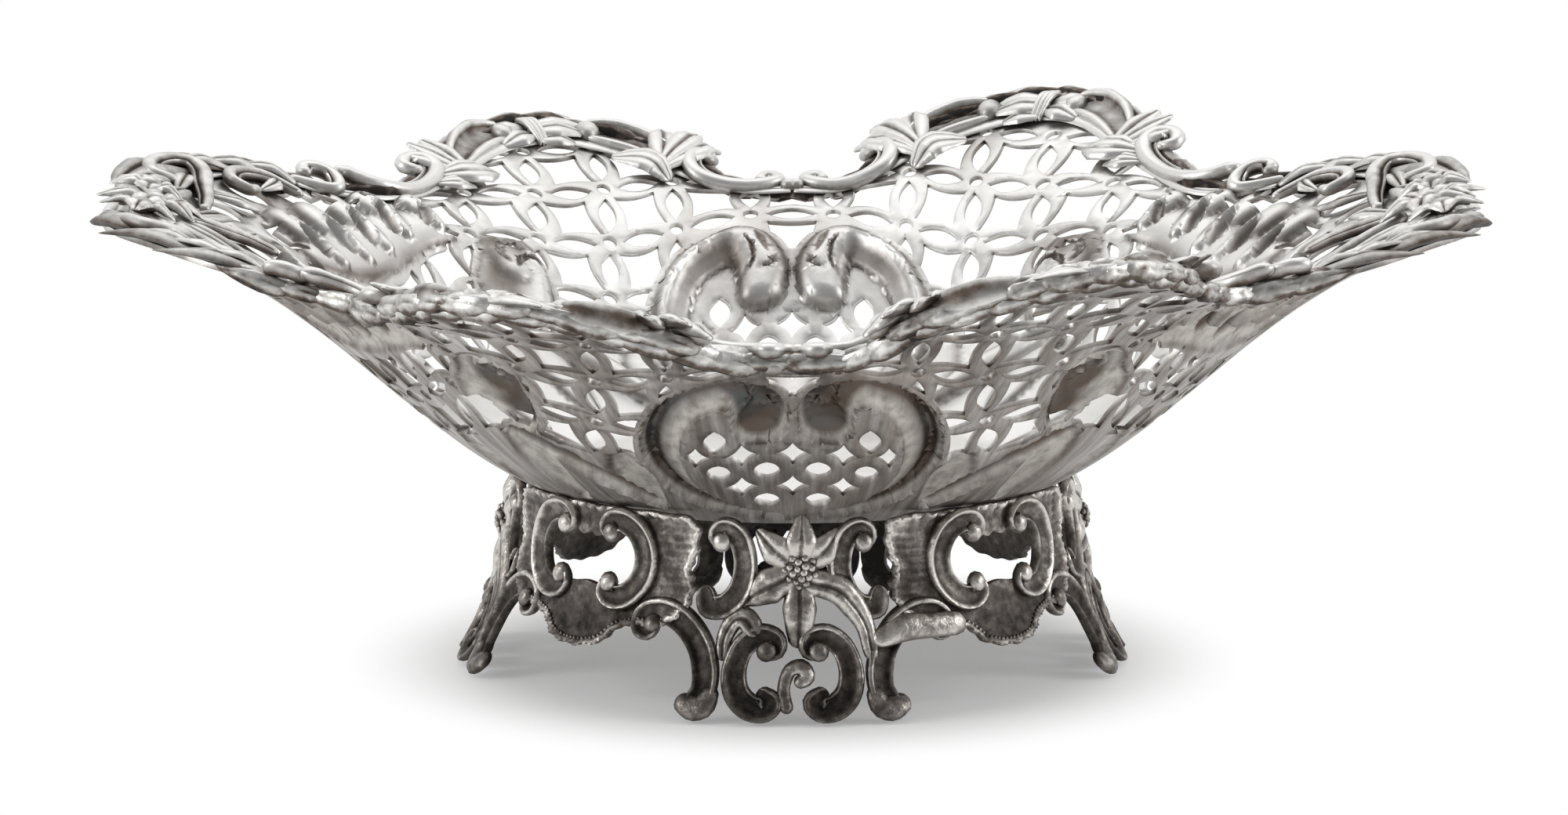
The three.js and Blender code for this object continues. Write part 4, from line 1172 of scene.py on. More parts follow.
sideBorder = {
    # how each group of bars is swept, in the order in which they are made
    "bars": {
        "bands": {"kind": "ribbed", "tall": 0.5, "step": 1.0, "cap": 0.1},
        "tubes": {"kind": "tube", "shade": 0.1},
        "leaves": {"kind": "leaf", "step": 0.6, "shade": 0.1},
        "troughs": {"kind": "trough", "tall": 0.85, "tilt": -26},
        "broadLeaves": {"kind": "ribbed", "tall": 0.8, "step": 0.6},
        "ties": {"kind": "round"},
    },
    "bands": [  # each form of a group has a path and widths
        ([(0.4, 2.4, 0.8), (15, 2.8, 0.8), (30, 2.6, 0.8), (45, 2.6, 0.8), (60, 2.8, 0.8), (75, 2.8, 0.8),
          (86, 2.4, 0.8), (98.6, 2.4, 0.8)], [4.2, 5, 5.4, 5.6, 5.6, 5, 4.4, 3.6]),
    ],
    "tubes": [
        ([(4.6, 0.7, 2), (4, -0.5, 2.1), (2.8, -0.6, 2), (2.2, 0.8, 1.7), (4.6, 2.7, 1.5), (8.6, 4.1, 1.4),
          (12.2, 4.5, 1.6), (15, 3.3, 2.1), (16.1, 1.4, 2.8), (15.5, -0.2, 3.2), (14.3, 0, 3)],
         [1.9, 2.3, 2.5, 2.5, 2.6, 2.7, 2.7, 2.8, 2.9, 2.9, 2.4]),
        ([(72.4, 0.7, 2.2), (72.8, -0.6, 2.6), (71.6, -1.3, 2.9), (70, -0.9, 2.9), (69.2, 0.7, 2.5),
          (70.6, 2.6, 1.9), (75, 3.6, 1.5), (80, 3.3, 1.4), (84, 1.8, 1.7), (87.2, -0.1, 2.4),
          (89.4, -1.2, 3), (91, -1, 3.2)], [2, 2.4, 2.7, 2.8, 2.9, 2.9, 2.9, 2.8, 2.7, 2.7, 2.8, 2.4]),
        ([(98.7, 1.9, 1.2), (96, 3.2, 1.3), (93.2, 3.7, 1.4), (91.9, 2.3, 1.8), (92.4, 0, 2.6),
          (94.4, -1, 3.2), (96.4, -0.8, 3), (96.8, 0.2, 2.5)], [1.7, 2.1, 2.5, 2.6, 2.6, 2.6, 2.6, 2.2]),
    ],
    "troughs": [
        ([(18.6, 3.4, 1.2), (21.6, 2.1, 1.7), (25.6, 1.3, 1.9), (29.6, 1.1, 1.9), (32.6, 1.3, 1.8)],
         [2.4, 4.4, 5.4, 5.6, 4.4]),
        ([(50.4, 1.6, 1.6), (54, 1.6, 1.8), (58, 1.9, 1.7), (62, 2.6, 1.5), (65.4, 3.6, 1.4)],
         [4, 5.2, 5, 4, 2.4]),
    ],
    "leaves": [
        ([(18.4, 5.2, 1.6), (17.1, 1.8, 2.6), (16.3, -0.4, 3.8), (15.7, -1.6, 4.2)], [3, 5, 5.2, 2.6]),
        ([(19.4, 5, 1.8), (19.2, 1.4, 3), (19.1, -0.8, 4.4), (19.1, -1.8, 5)], [2.8, 4.6, 4.6, 2.2]),
        ([(20, 4.8, 1.6), (21.4, 1.8, 2.6), (22.5, -0.4, 3.6), (23, -1.2, 4)], [2.8, 4.8, 4.6, 2]),
        ([(43.2, 1, 1.8), (39.6, 0.2, 2.2), (35.4, 0.2, 2.1)], [3, 4.6, 2.4]),
        ([(43, -0.2, 1.8), (40, -1, 2.3), (36.8, -1.5, 2.5)], [2, 3, 1.2]),
        ([(43.2, 3, 1.7), (39.4, 3, 2), (35.6, 2.8, 1.8)], [3, 4.4, 2.4]),
        ([(42.8, 5, 1.3), (39.6, 5.2, 1.5), (36.6, 5.2, 1.2)], [2.4, 3.6, 1.8]),
        ([(45.6, 1.4, 1.8), (47.6, 0.8, 2.1), (50, 0.4, 2.1)], [3, 4.4, 2.2]),
        ([(45.4, 4, 1.5), (48.2, 4.4, 1.7), (51.4, 4.6, 1.3)], [2.6, 4, 1.8]),
        ([(66.2, 4.6, 1.6), (65, 1.4, 2.5), (64.2, -0.8, 3.4)], [2.8, 4.8, 2.2]),
        ([(67, 4.4, 1.7), (67.1, 0.8, 2.8), (67.4, -1.3, 4)], [2.8, 4.6, 2.2]),
        ([(67.8, 4, 1.6), (69.2, 0.8, 2.6), (70.2, -1.2, 3.5)], [2.6, 4.4, 1.8]),
    ],
    "broadLeaves": [
        ([(17.2, 7.4, 1.2), (20, 6.6, 1.7), (23.6, 6, 1.8), (27.6, 6.4, 1.2)], [3.4, 6, 6.2, 2.8]),
        ([(70, 4, 1.6), (68.2, 5.6, 1.9), (65.8, 7, 1.7), (62.8, 8.4, 1.1)], [3.4, 6.2, 6, 0.8]),
        ([(72.6, 5, 1.4), (71.4, 6.6, 1.6), (69.8, 8, 1.1)], [2.6, 4.2, 1.4]),
    ],
    "ties": [([(outer, -0.8, 1.6), ((outer + inner) / 2, 2.2, 2.9), (inner, 5.4, 1.3)], [1, 1.2, 1])
             for outer, inner in ((44.6, 43.2), (45.5, 44.1), (43.7, 42.3))],
    "beads": [(33.8, 1.5, 1.8, 2.1), (0.6, 2.6, 1.5, 1.2), (49.4, 2.2, 1.7, 1.8), (2.6, 0.2, -0.4, 1.4)],
    "beadTall": 0.8,
}

endBorder = {
    # the shade values darken the tip's bars: painted shade
    "bars": {
        "bands": {"kind": "ribbed", "tall": 0.5, "step": 1.0, "cap": 0.1},
        "tubes": {"kind": "tube", "shade": 0.45},
        "leaves": {"kind": "leaf", "step": 0.6, "shade": 0.45},
        "edgeLeaves": {"kind": "leaf", "tall": 0.8, "step": 0.6, "shade": 0.8},
    },
    "bands": [
        ([(100, 2.4, 0.8), (110, 2.6, 0.8), (120, 2.8, 0.8), (130, 3, 0.8), (140, 3, 0.8), (151.6, 3, 0.8)],
         [3.4, 4, 4, 4.2, 4.4, 4.4]),
    ],
    "tubes": [
        ([(101, 8.6, 1.2), (104.6, 7.4, 1.4), (109, 5.8, 1.7), (113.6, 5.4, 1.7), (116.6, 7.2, 1.5),
          (116, 9.6, 1.3), (113.8, 9.4, 1.2)], [1.6, 2.1, 2.4, 2.4, 2.3, 2.1, 1.7]),
        ([(136, 11.4, 1.3), (131.6, 10.4, 1.6), (126.6, 8.2, 1.9), (122.2, 5.8, 2.1), (120.2, 3.2, 2.3),
          (121.8, 1.1, 2.4), (126, 0.9, 2.4), (129.4, 2.4, 2), (128.6, 4.4, 1.7)],
         [1.5, 2.1, 2.5, 2.7, 2.7, 2.6, 2.4, 2.2, 1.8]),
        ([(138.6, 22.6, 1.1), (141.2, 18.8, 1.4), (144.6, 15.2, 1.7), (147.2, 11.7, 1.9), (149.6, 10.6, 2),
          (151.4, 11.8, 2), (151.4, 14.6, 1.8), (150.8, 18.4, 1.4), (150, 22, 1.1)],
         [1.5, 2, 2.2, 2.3, 2.3, 2.2, 2.1, 1.9, 1.5]),
    ],
    "leaves": [
        ([(100.5, 4.4, 1.5), (103.5, 3, 2.2), (107.5, 2, 1.9)], [2, 3.4, 1.6]),
        ([(106.5, 3.6, 1.6), (109.6, 2.2, 2.3), (113.6, 1, 1.9)], [2, 3.4, 1.4]),
        ([(112.6, 3.2, 1.6), (115.6, 1.6, 2.3), (119.2, 0.3, 1.9)], [2, 3.4, 1.4]),
        ([(104, 6.2, 1.4), (107.8, 8.6, 1.7), (111.5, 9.4, 1.2)], [1.8, 3, 1.2]),
        ([(124, 4.6, 1.5), (126.8, 5.6, 1.9), (130.6, 6.4, 1.4)], [1.8, 3, 1.2]),
        ([(130, 4, 1.6), (133.4, 3.2, 2.2), (137.4, 2, 1.8)], [2, 3.6, 1.6]),
        ([(132, 7.6, 1.5), (136, 7.4, 1.9), (140, 6.2, 1.7)], [2, 3.6, 1.4]),
        ([(142, 11.4, 1.4), (138.6, 13.6, 1.6), (134.6, 15, 1.2)], [1.8, 3.2, 1]),
        ([(142.6, 17.6, 1.3), (139, 19, 1.4), (135.4, 19, 1.1)], [1.6, 2.6, 1]),
        ([(127.5, 10.4, 1.5), (125, 13, 1.6), (121.6, 14.6, 1.1)], [1.8, 3, 1]),
    ],
    "edgeLeaves": [  # outside the rim: the broad leaves that hang over the tip, darkened by painted shade
        ([(100, 2.4, 1), (106.4, 0.4, 1.5), (112.6, -2.2, 0.4)], [3.2, 5.4, 0.6]),
        ([(109.6, 2.6, 1), (117, 0.4, 1.6), (124.4, -2.6, 0.3)], [3.4, 5.8, 0.6]),
        ([(120.4, 2.8, 1), (127.6, 0.8, 1.8), (133.8, -0.3, 0.7)], [3.6, 6.4, 1.8]),
        ([(131.6, 4.2, 1.1), (137, 2.8, 1.8), (142, 1.8, 0.9)], [3.6, 6, 1]),
    ],
}


def rimPlace(signX, signY):
    def place(points):
        flat = atRim(signX * points[:, 0], points[:, 1]) * np.array([1, signY])
        return onSheet(flat, points[:, 2])
    return place


def sweepForms(casting, place, plan):
    for group, bar in plan["bars"].items():
        for path, widths in plan[group]:
            sweep(casting, place, path, widths, **bar)
            if group == "tubes":
                scrollEnd(casting, place, path[0], widths[0])
                scrollEnd(casting, place, path[-1], widths[-1])


def sideBorderMesh(name, signX, signY):
    casting, place = newCasting(), rimPlace(signX, signY)
    sweepForms(casting, place, sideBorder)
    for along, inward, height, radius in sideBorder["beads"]:
        bead(casting, place, (along, inward, height), radius, sideBorder["beadTall"])
    return castingMesh(name, casting)


def endBorderMesh(name, signX):
    casting = newCasting()
    for signY in (1, -1):
        sweepForms(casting, rimPlace(signX, signY), endBorder)
    return castingMesh(name, casting)


# Flower sprays at the tips

spray = {
    "flowers": [  # along the rim, inward, reach, petals, petal width, turn
        (152, 6.6, 6.2, 6, 4.6, 12),
        (143.6, 5, 4.2, 5, 3.6, 40),
    ],
    "lift": 3,
    "petal": [(0.12, 0.4), (0.55, 1.3), (1, 0.6)],  # shares of the reach, and heights over the lift
    "petalWidths": (0.45, 1, 0.35),
    "petalBar": {"kind": "leaf", "tall": 0.9, "step": 0.6},
    "bead": 1.6,
    "beadRise": 1.1,
    "beadTall": 0.8,
    "stem": [(140.6, 8, 2.6), (145.6, 6, 3), (150, 6.6, 3)],  # from the small flower to the one at the tip
    "stemWidths": (1, 1.6, 1.2),
}


def flowerForm(casting, spot, reach, petals, width, turn):
    def place(points):
        return onSheet(points[:, :2], points[:, 2])

    lift = spray["lift"]
    widths = [width * share for share in spray["petalWidths"]]
    for petal in range(petals):
        way = polar(360 * petal / petals + turn, 1)
        path = [(*(spot + way * reach * share), lift + rise) for share, rise in spray["petal"]]
        sweep(casting, place, path, widths, **spray["petalBar"])
    bead(casting, place, (*spot, lift + spray["beadRise"]), spray["bead"], spray["beadTall"])


def sprayMesh(name, signX):
    casting = newCasting()
    (tip, tipIn, *tipForm), (side, sideIn, *sideForm) = spray["flowers"]
    flowerForm(casting, atRim(signX * tip, tipIn), *tipForm)
    for signY in (1, -1):
        flowerForm(casting, atRim(signX * side, sideIn) * np.array([1, signY]), *sideForm)
        sweep(casting, rimPlace(signX, signY), spray["stem"], spray["stemWidths"])
    return castingMesh(name, casting)


# Foot castings: places in millimetres round the foot from a casting's middle, up from the table and out

foot = {
    "topRadius": 39,
    "flare": 8,
    "wallRadius": 43,
    "height": 27,
    "back": 1.1,  # height of the castings' middle above the wall
}

leg = {
    # how each group of forms is swept; a lift is the height over the back, a pair is made on both sides
    "bars": {
        "scrolls": {"kind": "scroll", "tall": 0.85, "step": 0.5},
        "toes": {"kind": "round", "tall": 0.75},
        "curls": {"kind": "leaf", "tall": 1.3},
        "stems": {"kind": "leaf", "tall": 1.2},
        "buds": {"kind": "round", "tall": 0.9},
        "petals": {"kind": "leaf", "tall": 0.8, "step": 0.5},
        "patches": {"kind": "round", "tall": 0.6},
    },
    "pairs": ("scrolls", "toes"),
    "lifts": {"stems": 0.3, "patches": 0.7},
    "scrollBeadLift": 0.3,
    "scrolls": [  # path, widths, for both sides
        ([(10.6, 24.6), (11.4, 25.7), (10.2, 26.6), (8.4, 25.8), (7.2, 23.4), (7, 20.4), (8, 17.5),
          (10, 15.7), (12.2, 15.6), (12.8, 17)], [2.6, 2.9, 3.1, 3.3, 3.4, 3.5, 3.5, 3.4, 3.3, 2.9]),
        ([(20.6, 12.8), (21.2, 11.8), (22.4, 12.2), (22.4, 13.6), (20.8, 14.6), (18.1, 14.5), (15.3, 13),
          (13, 10.3), (11.9, 7.2), (11.8, 4.8), (12.4, 3.4)],
         [2.4, 2.8, 3, 3.2, 3.4, 3.6, 3.7, 3.7, 3.7, 3.5, 3.4]),
        ([(3.6, 9.9), (2.3, 10.2), (2.6, 11.5), (4.8, 11.9), (7, 10.3), (8, 7.3), (7.5, 4.4), (5.8, 2.6),
          (3.8, 2.2), (2.8, 3.1), (3.6, 3.9)], [2.6, 2.9, 3.1, 3.2, 3.3, 3.4, 3.4, 3.4, 3.3, 3.1, 2.6]),
    ],
    "toes": [([(11, 3.8), (11.6, 2.5), (12.9, 2.1), (14.2, 2.6)], [2.6, 3.3, 3.4, 2.8])],
    "curls": [([(-9.7, 9.4), (-9.6, 11.6), (-8.4, 13.8), (-6.8, 14.2), (-5.8, 13.1)],
               [2, 2.4, 2.8, 3.2, 3.2])],
    "stems": [([(3, 19.2), (6.6, 18.2), (8.9, 15.8), (10.4, 13), (10.9, 9.6)], [3.6, 4.2, 3.8, 2.8, 2.2])],
    "buds": [([(-0.8, 2.6), (-1.2, 5), (-0.4, 7.3), (1.2, 7.8), (2, 6.6), (1.1, 5.9)],
              [1.8, 1.7, 1.9, 2.2, 2.2, 1.9])],
    "petals": [
        ([(1.1, 22), (1.3, 24.8), (1.4, 27.3)], [3.2, 5, 2.6]),
        ([(-0.4, 22), (-2.6, 23.8), (-4.8, 25.8)], [2.6, 4.6, 1.8]),
        ([(2.8, 22), (4.6, 23.6), (6.6, 25.8)], [2.6, 4.4, 1.8]),
        ([(-0.4, 20), (-3.4, 18.7), (-6.6, 16.8)], [3.4, 5.2, 2.4]),
        ([(1, 19), (1, 15.6), (0.9, 11.8)], [3.6, 5, 3.4]),
    ],
    "petalHeights": (1.4, 1.7, 1),
    "patches": [([(12.6, 11.4), (16, 12.6), (20, 12.6), (24, 12.6)], [2.8, 3.8, 3.4, 3.4])],  # an old repair
    "flower": (1.2, 20.8),
    "flowerHeight": 1.1,
    "domeRadius": 2.4,
    "domeTall": 0.8,
    "domeWearAndShade": -0.6,
}

panel = {
    "outline": [(0, 8.4), (4.6, 9.2), (7.2, 11.3), (10.4, 12.2), (14.4, 12.4), (17.6, 14.4), (19.2, 17.8),
                (18.4, 20.4), (19.4, 23.4), (18.6, 27.5), (10, 28.1), (0, 28.1)],
    "opening": [(0, 17.2), (4, 16.8), (8.6, 17.8), (10, 21.4), (8.6, 24.7), (4.4, 24.9), (1.6, 23.6),
                (0, 24.2)],
    "scroll": ([(4.9, 24.6), (4, 25.4), (5.2, 26.5), (7.6, 26.4), (9.9, 25), (11.3, 22.2), (10.9, 18.9),
                (8.7, 16.3), (6.2, 15.6), (4.5, 16.5), (5, 17.7)],
               [2.6, 2.9, 3.2, 3.5, 3.7, 3.8, 3.8, 3.6, 3.4, 3.1, 2.6]),
    "scrollBar": {"kind": "scroll", "tall": 0.8, "step": 0.5},
    "scrollHeight": 1.5,
    "scrollBeadHeight": 1.7,
    "loopPoints": (220, 90),  # round the outline and round the opening
    "ripples": 34,  # small waves of the outline, and their depth as a share of the way from the middle
    "rippleDepth": 0.012,
    "middle": (0, 20),
    "grid": 0.45,
    "gridReach": 32,
    "base": 0.3,
    "thickness": 0.9,
    "ribRise": 0.22,
    "ribPitch": 1.15,
    "ribsFrom": (12, 4),  # how far from the middle the ribs start, and over what distance they rise
    "dishPlace": (2.4, 1.4),  # distance from the edge, and width
    "dish": 0.25,
    "beadPlace": (0.5, 0.4),
    "edgeBead": 0.45,
    # wear-and-shade mark: bead and ribs lighter; dish, ground and underside darker, as patina and painted
    # shade
    "wearAndShade": {"bead": 0.9, "ribs": 0.35, "dish": -0.35, "ground": -0.25, "below": -0.3},
}


def footPlace(centreAngle):
    def place(points):
        angle = centreAngle + points[:, 0] / foot["wallRadius"]
        drop = 1 - points[:, 1] / foot["height"]
        radius = foot["topRadius"] + foot["flare"] * drop * np.abs(drop) + points[:, 2]
        return np.stack([radius * np.sin(angle), -radius * np.cos(angle), points[:, 1]], axis=1)
    return place


def lifted(path, height):
    return [(*point, height) for point in path]


def flipped(path):
    return [(-across, up) for across, up in path]


def legMesh(name, centreAngle):
    casting, place = newCasting(), footPlace(centreAngle)
    back = foot["back"]
    for group, bar in leg["bars"].items():
        if group == "patches" and centreAngle != 0:  # only the front leg was mended
            continue
        for path, widths in leg[group]:
            for shape in (path, flipped(path)) if group in leg["pairs"] else (path,):
                if group == "petals":
                    raised = [(*point, height) for point, height in zip(shape, leg["petalHeights"])]
                else:
                    raised = lifted(shape, back + leg["lifts"].get(group, 0))
                sweep(casting, place, raised, widths, **bar)
                if group == "scrolls":
                    scrollEnd(casting, place, (*shape[0], back + leg["scrollBeadLift"]), widths[0])
    dome = (*leg["flower"], leg["flowerHeight"])
    bead(casting, place, dome, leg["domeRadius"], leg["domeTall"], leg["domeWearAndShade"])
    return castingMesh(name, casting)


def bothSides(points):
    return points + flipped(points[1:-1])[::-1]


def panelLoop(outline, count):
    return closedSpline(bothSides(panel[outline]), count)[:-1]


def insideLoop(loop, flat):
    ahead = np.roll(loop, -1, axis=0)
    crossing = np.zeros(len(flat), bool)
    for start, end in zip(loop, ahead):
        spans = (start[1] > flat[:, 1]) != (end[1] > flat[:, 1])
        lean = (end[0] - start[0]) * (flat[:, 1] - start[1]) / (end[1] - start[1] + 1e-12) + start[0]
        crossing ^= spans & (flat[:, 0] < lean)
    return crossing


def hump(distance, place, width):
    return np.exp(-((distance - place) / width) ** 2)


def panelPlate(casting, place):
    outerPoints, openingPoints = panel["loopPoints"]
    outer, opening = panelLoop("outline", outerPoints), panelLoop("opening", openingPoints)
    wave = np.sin(np.arange(len(outer)) / len(outer) * fullTurn * panel["ripples"])
    middle = np.array(panel["middle"])
    outer = middle + (outer - middle) * (1 + panel["rippleDepth"] * wave)[:, None]
    grid = hexGrid(panel["grid"], panel["gridReach"])
    grid = grid[insideLoop(outer, grid) & ~insideLoop(opening, grid)]
    flat, triangles, labels = triangulateSheet([outer, opening], ["plate", "opening"], grid)
    faces, _ = platedFaces(flat, triangles[np.array([label == {"plate"} for label in labels])])
    fromEdge = np.min(np.linalg.norm(flat[:, None] - outer[None, ::2], axis=2), axis=1)
    start, span = panel["ribsFrom"]
    sideward = np.clip((np.abs(flat[:, 0]) - start) / span, 0, 1)
    rib = (0.5 + 0.5 * np.cos(flat[:, 1] * fullTurn / panel["ribPitch"])) * sideward
    rim, dish = hump(fromEdge, *panel["beadPlace"]), hump(fromEdge, *panel["dishPlace"])
    height = (panel["base"] + panel["thickness"] + rib * panel["ribRise"] * np.clip(fromEdge, 0, 1)
              + rim * panel["edgeBead"] - dish * panel["dish"])
    plan = panel["wearAndShade"]
    wearAndShade = np.clip(plan["bead"] * rim + plan["ribs"] * rib + plan["dish"] * dish + plan["ground"], -1, 1)
    upper = np.column_stack([flat, height])
    lower = np.column_stack([flat, np.full(len(flat), panel["base"])])
    below = np.full(len(flat), plan["below"])
    addClosed(casting, place(np.concatenate([upper, lower])), faces, np.concatenate([wearAndShade, below]))


def panelMesh(name, centreAngle):
    casting, place = newCasting(), footPlace(centreAngle)
    panelPlate(casting, place)
    path, widths = panel["scroll"]
    for shape in (path, flipped(path)):
        sweep(casting, place, lifted(shape, panel["scrollHeight"]), widths, **panel["scrollBar"])
        for end in (0, -1):
            scrollEnd(casting, place, (*shape[end], panel["scrollBeadHeight"]), widths[end])
    return castingMesh(name, casting)


# Small repeated forms, spread along curves or over points by geometry nodes

rows = {  # lengths in millimetres; where there's no pitch, the forms stand on given points
    "husk": {"Pitch": 5.8, "Length": 11.5, "Width": 3.5, "Height": 2.6, "Ribs": 1.0, "Outward": 0.9,
             "Upward": 0.7},
    "berry": {"Length": 1.15, "Width": 1.15, "Height": 1.0, "Ribs": 0.0, "Outward": 1.0, "Upward": 0.0},
    "dot": {"Pitch": 0.72, "Length": 0.62, "Width": 0.62, "Height": 0.5, "Ribs": 0.0, "Outward": 1.0,
            "Upward": 0.0},
    "lengths": ("Pitch", "Length", "Width", "Height"),
    "balls": {"husk": (14, 8), "berry": (8, 5), "dot": (8, 5)},  # segments and rings
    "taper": 0.5,
    "ribTurns": 11,
    "ribDepth": 0.22,
    "ribWorn": 3,
    "wearAndShadeBelow": 0.35,
    "seed": 11,
    "uneven": 0.2,
    "huskLines": [(4.5, 99, 0.5, 0.5), (20, 66, 0, 1.5)],  # span along the rim, inward, up
    "huskLinePoints": 120,
    "berries": 19,
    "dotInset": 0.9,
    "dotTop": 13.4,
    "dotRise": 0.1,
}


def rowTree(kind):
    tree = bpy.data.node_groups.new(f"{kind}Row", "GeometryNodeTree")
    sockets = [("Geometry", "Geometry"), *((label, "Float") for label in (*rows[kind], "Uneven")),
               ("Seed", "Int"), ("Material", "Material")]
    for label, socketType in sockets:
        tree.interface.new_socket(label, in_out="INPUT", socket_type=f"NodeSocket{socketType}")
    tree.interface.new_socket("Geometry", in_out="OUTPUT", socket_type="NodeSocketGeometry")
    give = addNode(tree, "NodeGroupInput").outputs

    # the form: a small ball, drawn out to a point and ribbed where it's a husk
    segments, rings = rows["balls"][kind]
    ball = addNode(tree, "GeometryNodeMeshUVSphere", {"Segments": segments, "Rings": rings, "Radius": 1})
    spot = addNode(tree, "GeometryNodeInputPosition").outputs[0]
    x, y, z = addNode(tree, "ShaderNodeSeparateXYZ", {0: spot}).outputs
    taper = mathNode(tree, "SUBTRACT", 1, product(tree, give["Ribs"], x, rows["taper"]))
    wave = mathNode(tree, "COSINE", product(tree, y, rows["ribTurns"]))
    ribbing = product(tree, wave, give["Ribs"], rows["ribDepth"])
    tall = product(tree, z, taper, mathNode(tree, "ADD", ribbing, 1))
    drawn = addNode(tree, "ShaderNodeCombineXYZ", {0: x, 1: product(tree, y, taper), 2: tall})
    # wear-and-shade mark: lighter on the ribs and the top, darker lower down (painted shade)
    lowered = mathNode(tree, "SUBTRACT", z, rows["wearAndShadeBelow"])
    marked = addNode(tree, "GeometryNodeStoreNamedAttribute", {
        "Geometry": ball.outputs["Mesh"], "Name": "wearAndShade",
        "Value": mathNode(tree, "MULTIPLY_ADD", ribbing, rows["ribWorn"], lowered)})
    shaped = addNode(tree, "GeometryNodeSetPosition", {
        "Geometry": marked.outputs["Geometry"], "Position": drawn.outputs[0]})
    size = addNode(tree, "ShaderNodeCombineXYZ", {
        index: product(tree, give[label], 0.5) for index, label in enumerate(("Length", "Width", "Height"))})
    sized = addNode(tree, "GeometryNodeTransform", {
        "Geometry": shaped.outputs["Geometry"], "Scale": size.outputs[0]})
    smooth = addNode(tree, "GeometryNodeSetShadeSmooth", {"Geometry": sized.outputs["Geometry"]})

    # where it goes, and how it's turned
    place = addNode(tree, "GeometryNodeInputPosition").outputs[0]
    away = vectorNode(tree, "NORMALIZE", {0: vectorNode(tree, "MULTIPLY", {0: place, 1: (1, 1, 0)})})
    outward = vectorNode(tree, "SCALE", {0: away, "Scale": give["Outward"]})
    upward = addNode(tree, "ShaderNodeCombineXYZ", {2: give["Upward"]}).outputs[0]
    points, tangent = give["Geometry"], (0, 0, 1)
    if "Pitch" in rows[kind]:
        points, tangent, *_ = addNode(tree, "GeometryNodeCurveToPoints", {
            "Curve": give["Geometry"], "Length": give["Pitch"]}, mode="LENGTH").outputs
    along = addNode(tree, "FunctionNodeAlignRotationToVector", {"Vector": tangent}, axis="X")
    facing = addNode(tree, "FunctionNodeAlignRotationToVector", {
        "Rotation": along.outputs[0], "Vector": vectorNode(tree, "ADD", {0: outward, 1: upward})},
        axis="Z", pivot_axis="X")
    uneven = addNode(tree, "FunctionNodeRandomValue", {
        2: mathNode(tree, "SUBTRACT", 1, give["Uneven"]), 3: mathNode(tree, "ADD", 1, give["Uneven"]),
        "Seed": give["Seed"]}, data_type="FLOAT")
    scatter = addNode(tree, "GeometryNodeInstanceOnPoints", {
        "Points": points, "Instance": smooth.outputs["Geometry"],
        "Rotation": facing.outputs[0], "Scale": uneven.outputs[1]})
    real = addNode(tree, "GeometryNodeRealizeInstances", {"Geometry": scatter.outputs["Instances"]})
    painted = addNode(tree, "GeometryNodeSetMaterial", {
        "Geometry": real.outputs["Geometry"], "Material": give["Material"]})
    addNode(tree, "NodeGroupOutput", {"Geometry": painted.outputs["Geometry"]})
    return tree


def spreadForms(name, source, kind, material):
    carrier = placeObject(f"{name}_source", source)
    spread = carrier.modifiers.new("spread", "NODES")
    spread.node_group = rowTree(kind)
    values = {label: value * mm if label in rows["lengths"] else value for label, value in rows[kind].items()}
    values.update({"Uneven": rows["uneven"], "Seed": rows["seed"], "Material": material})
    for item in spread.node_group.interface.items_tree:
        if item.in_out == "INPUT" and item.name in values:
            spread[item.identifier] = values[item.name]
    depsgraph = bpy.context.evaluated_depsgraph_get()
    mesh = bpy.data.meshes.new_from_object(carrier.evaluated_get(depsgraph), depsgraph=depsgraph)
    mesh.name = name
    bpy.data.objects.remove(carrier)
    mesh.materials.clear()
    return mesh


def curveThrough(name, paths):
    curve = bpy.data.curves.new(name, "CURVE")
    curve.dimensions = "3D"
    for points in paths:
        line = curve.splines.new("POLY")
        line.points.add(len(points) - 1)
        line.points.foreach_set("co", np.column_stack([points * mm, np.ones(len(points))]).ravel())
    return curve


def huskLines():
    lines = []
    for start, end, inward, lift in rows["huskLines"]:
        along = np.linspace(start, end, rows["huskLinePoints"])
        line = np.column_stack([along, np.full(len(along), inward), np.full(len(along), lift)])
        lines += [rimPlace(signX, signY)(line) for signX in (1, -1) for signY in (1, -1)]
    return lines


def berryPoints():
    goldenTurn = math.pi * (3 - math.sqrt(5))
    across, up = leg["flower"]
    points = []
    for index in range(rows["berries"]):
        spread = math.sqrt((index + 0.5) / rows["berries"]) * leg["domeRadius"]
        rise = leg["domeTall"] * math.sqrt(max(leg["domeRadius"] ** 2 - spread ** 2, 0))
        turn = goldenTurn * index
        points.append((across + spread * math.cos(turn), up + spread * math.sin(turn),
                       leg["flowerHeight"] + rise))
    return np.concatenate([footPlace(quarter * fullTurn / 4)(np.array(points)) for quarter in range(4)])


def dotLines():
    outer = panelLoop("outline", panel["loopPoints"][0])
    inner = offsetOutline(outer, -rows["dotInset"])
    inner = np.roll(inner, -int(np.argmax(inner[:, 1])), axis=0)
    low = inner[inner[:, 1] < rows["dotTop"]]
    line = np.column_stack([low, np.full(len(low), panel["base"] + panel["thickness"] + rows["dotRise"])])
    return [footPlace((quarter + 0.5) * fullTurn / 4)(line) for quarter in range(4)]


# Materials

silverTones = {
    "bright": (0.8, 0.79, 0.77),
    "paintedFloorLight": (0.97, 0.965, 0.95),
    # painted light: the near-white of the bowl's lit floor
    "dull": (0.4, 0.385, 0.365),
    "pink": (0.44, 0.38, 0.35),
    # the outside's dark tone: tarnish and painted shade
    "outside": (0.225, 0.206, 0.184),
    "powder": (0.6, 0.575, 0.535),
    "channel": (0.1, 0.077, 0.062),
    "brown": (0.15, 0.118, 0.098),
    "blue": (0.1, 0.106, 0.108),
    "black": (0.04, 0.037, 0.035),
}

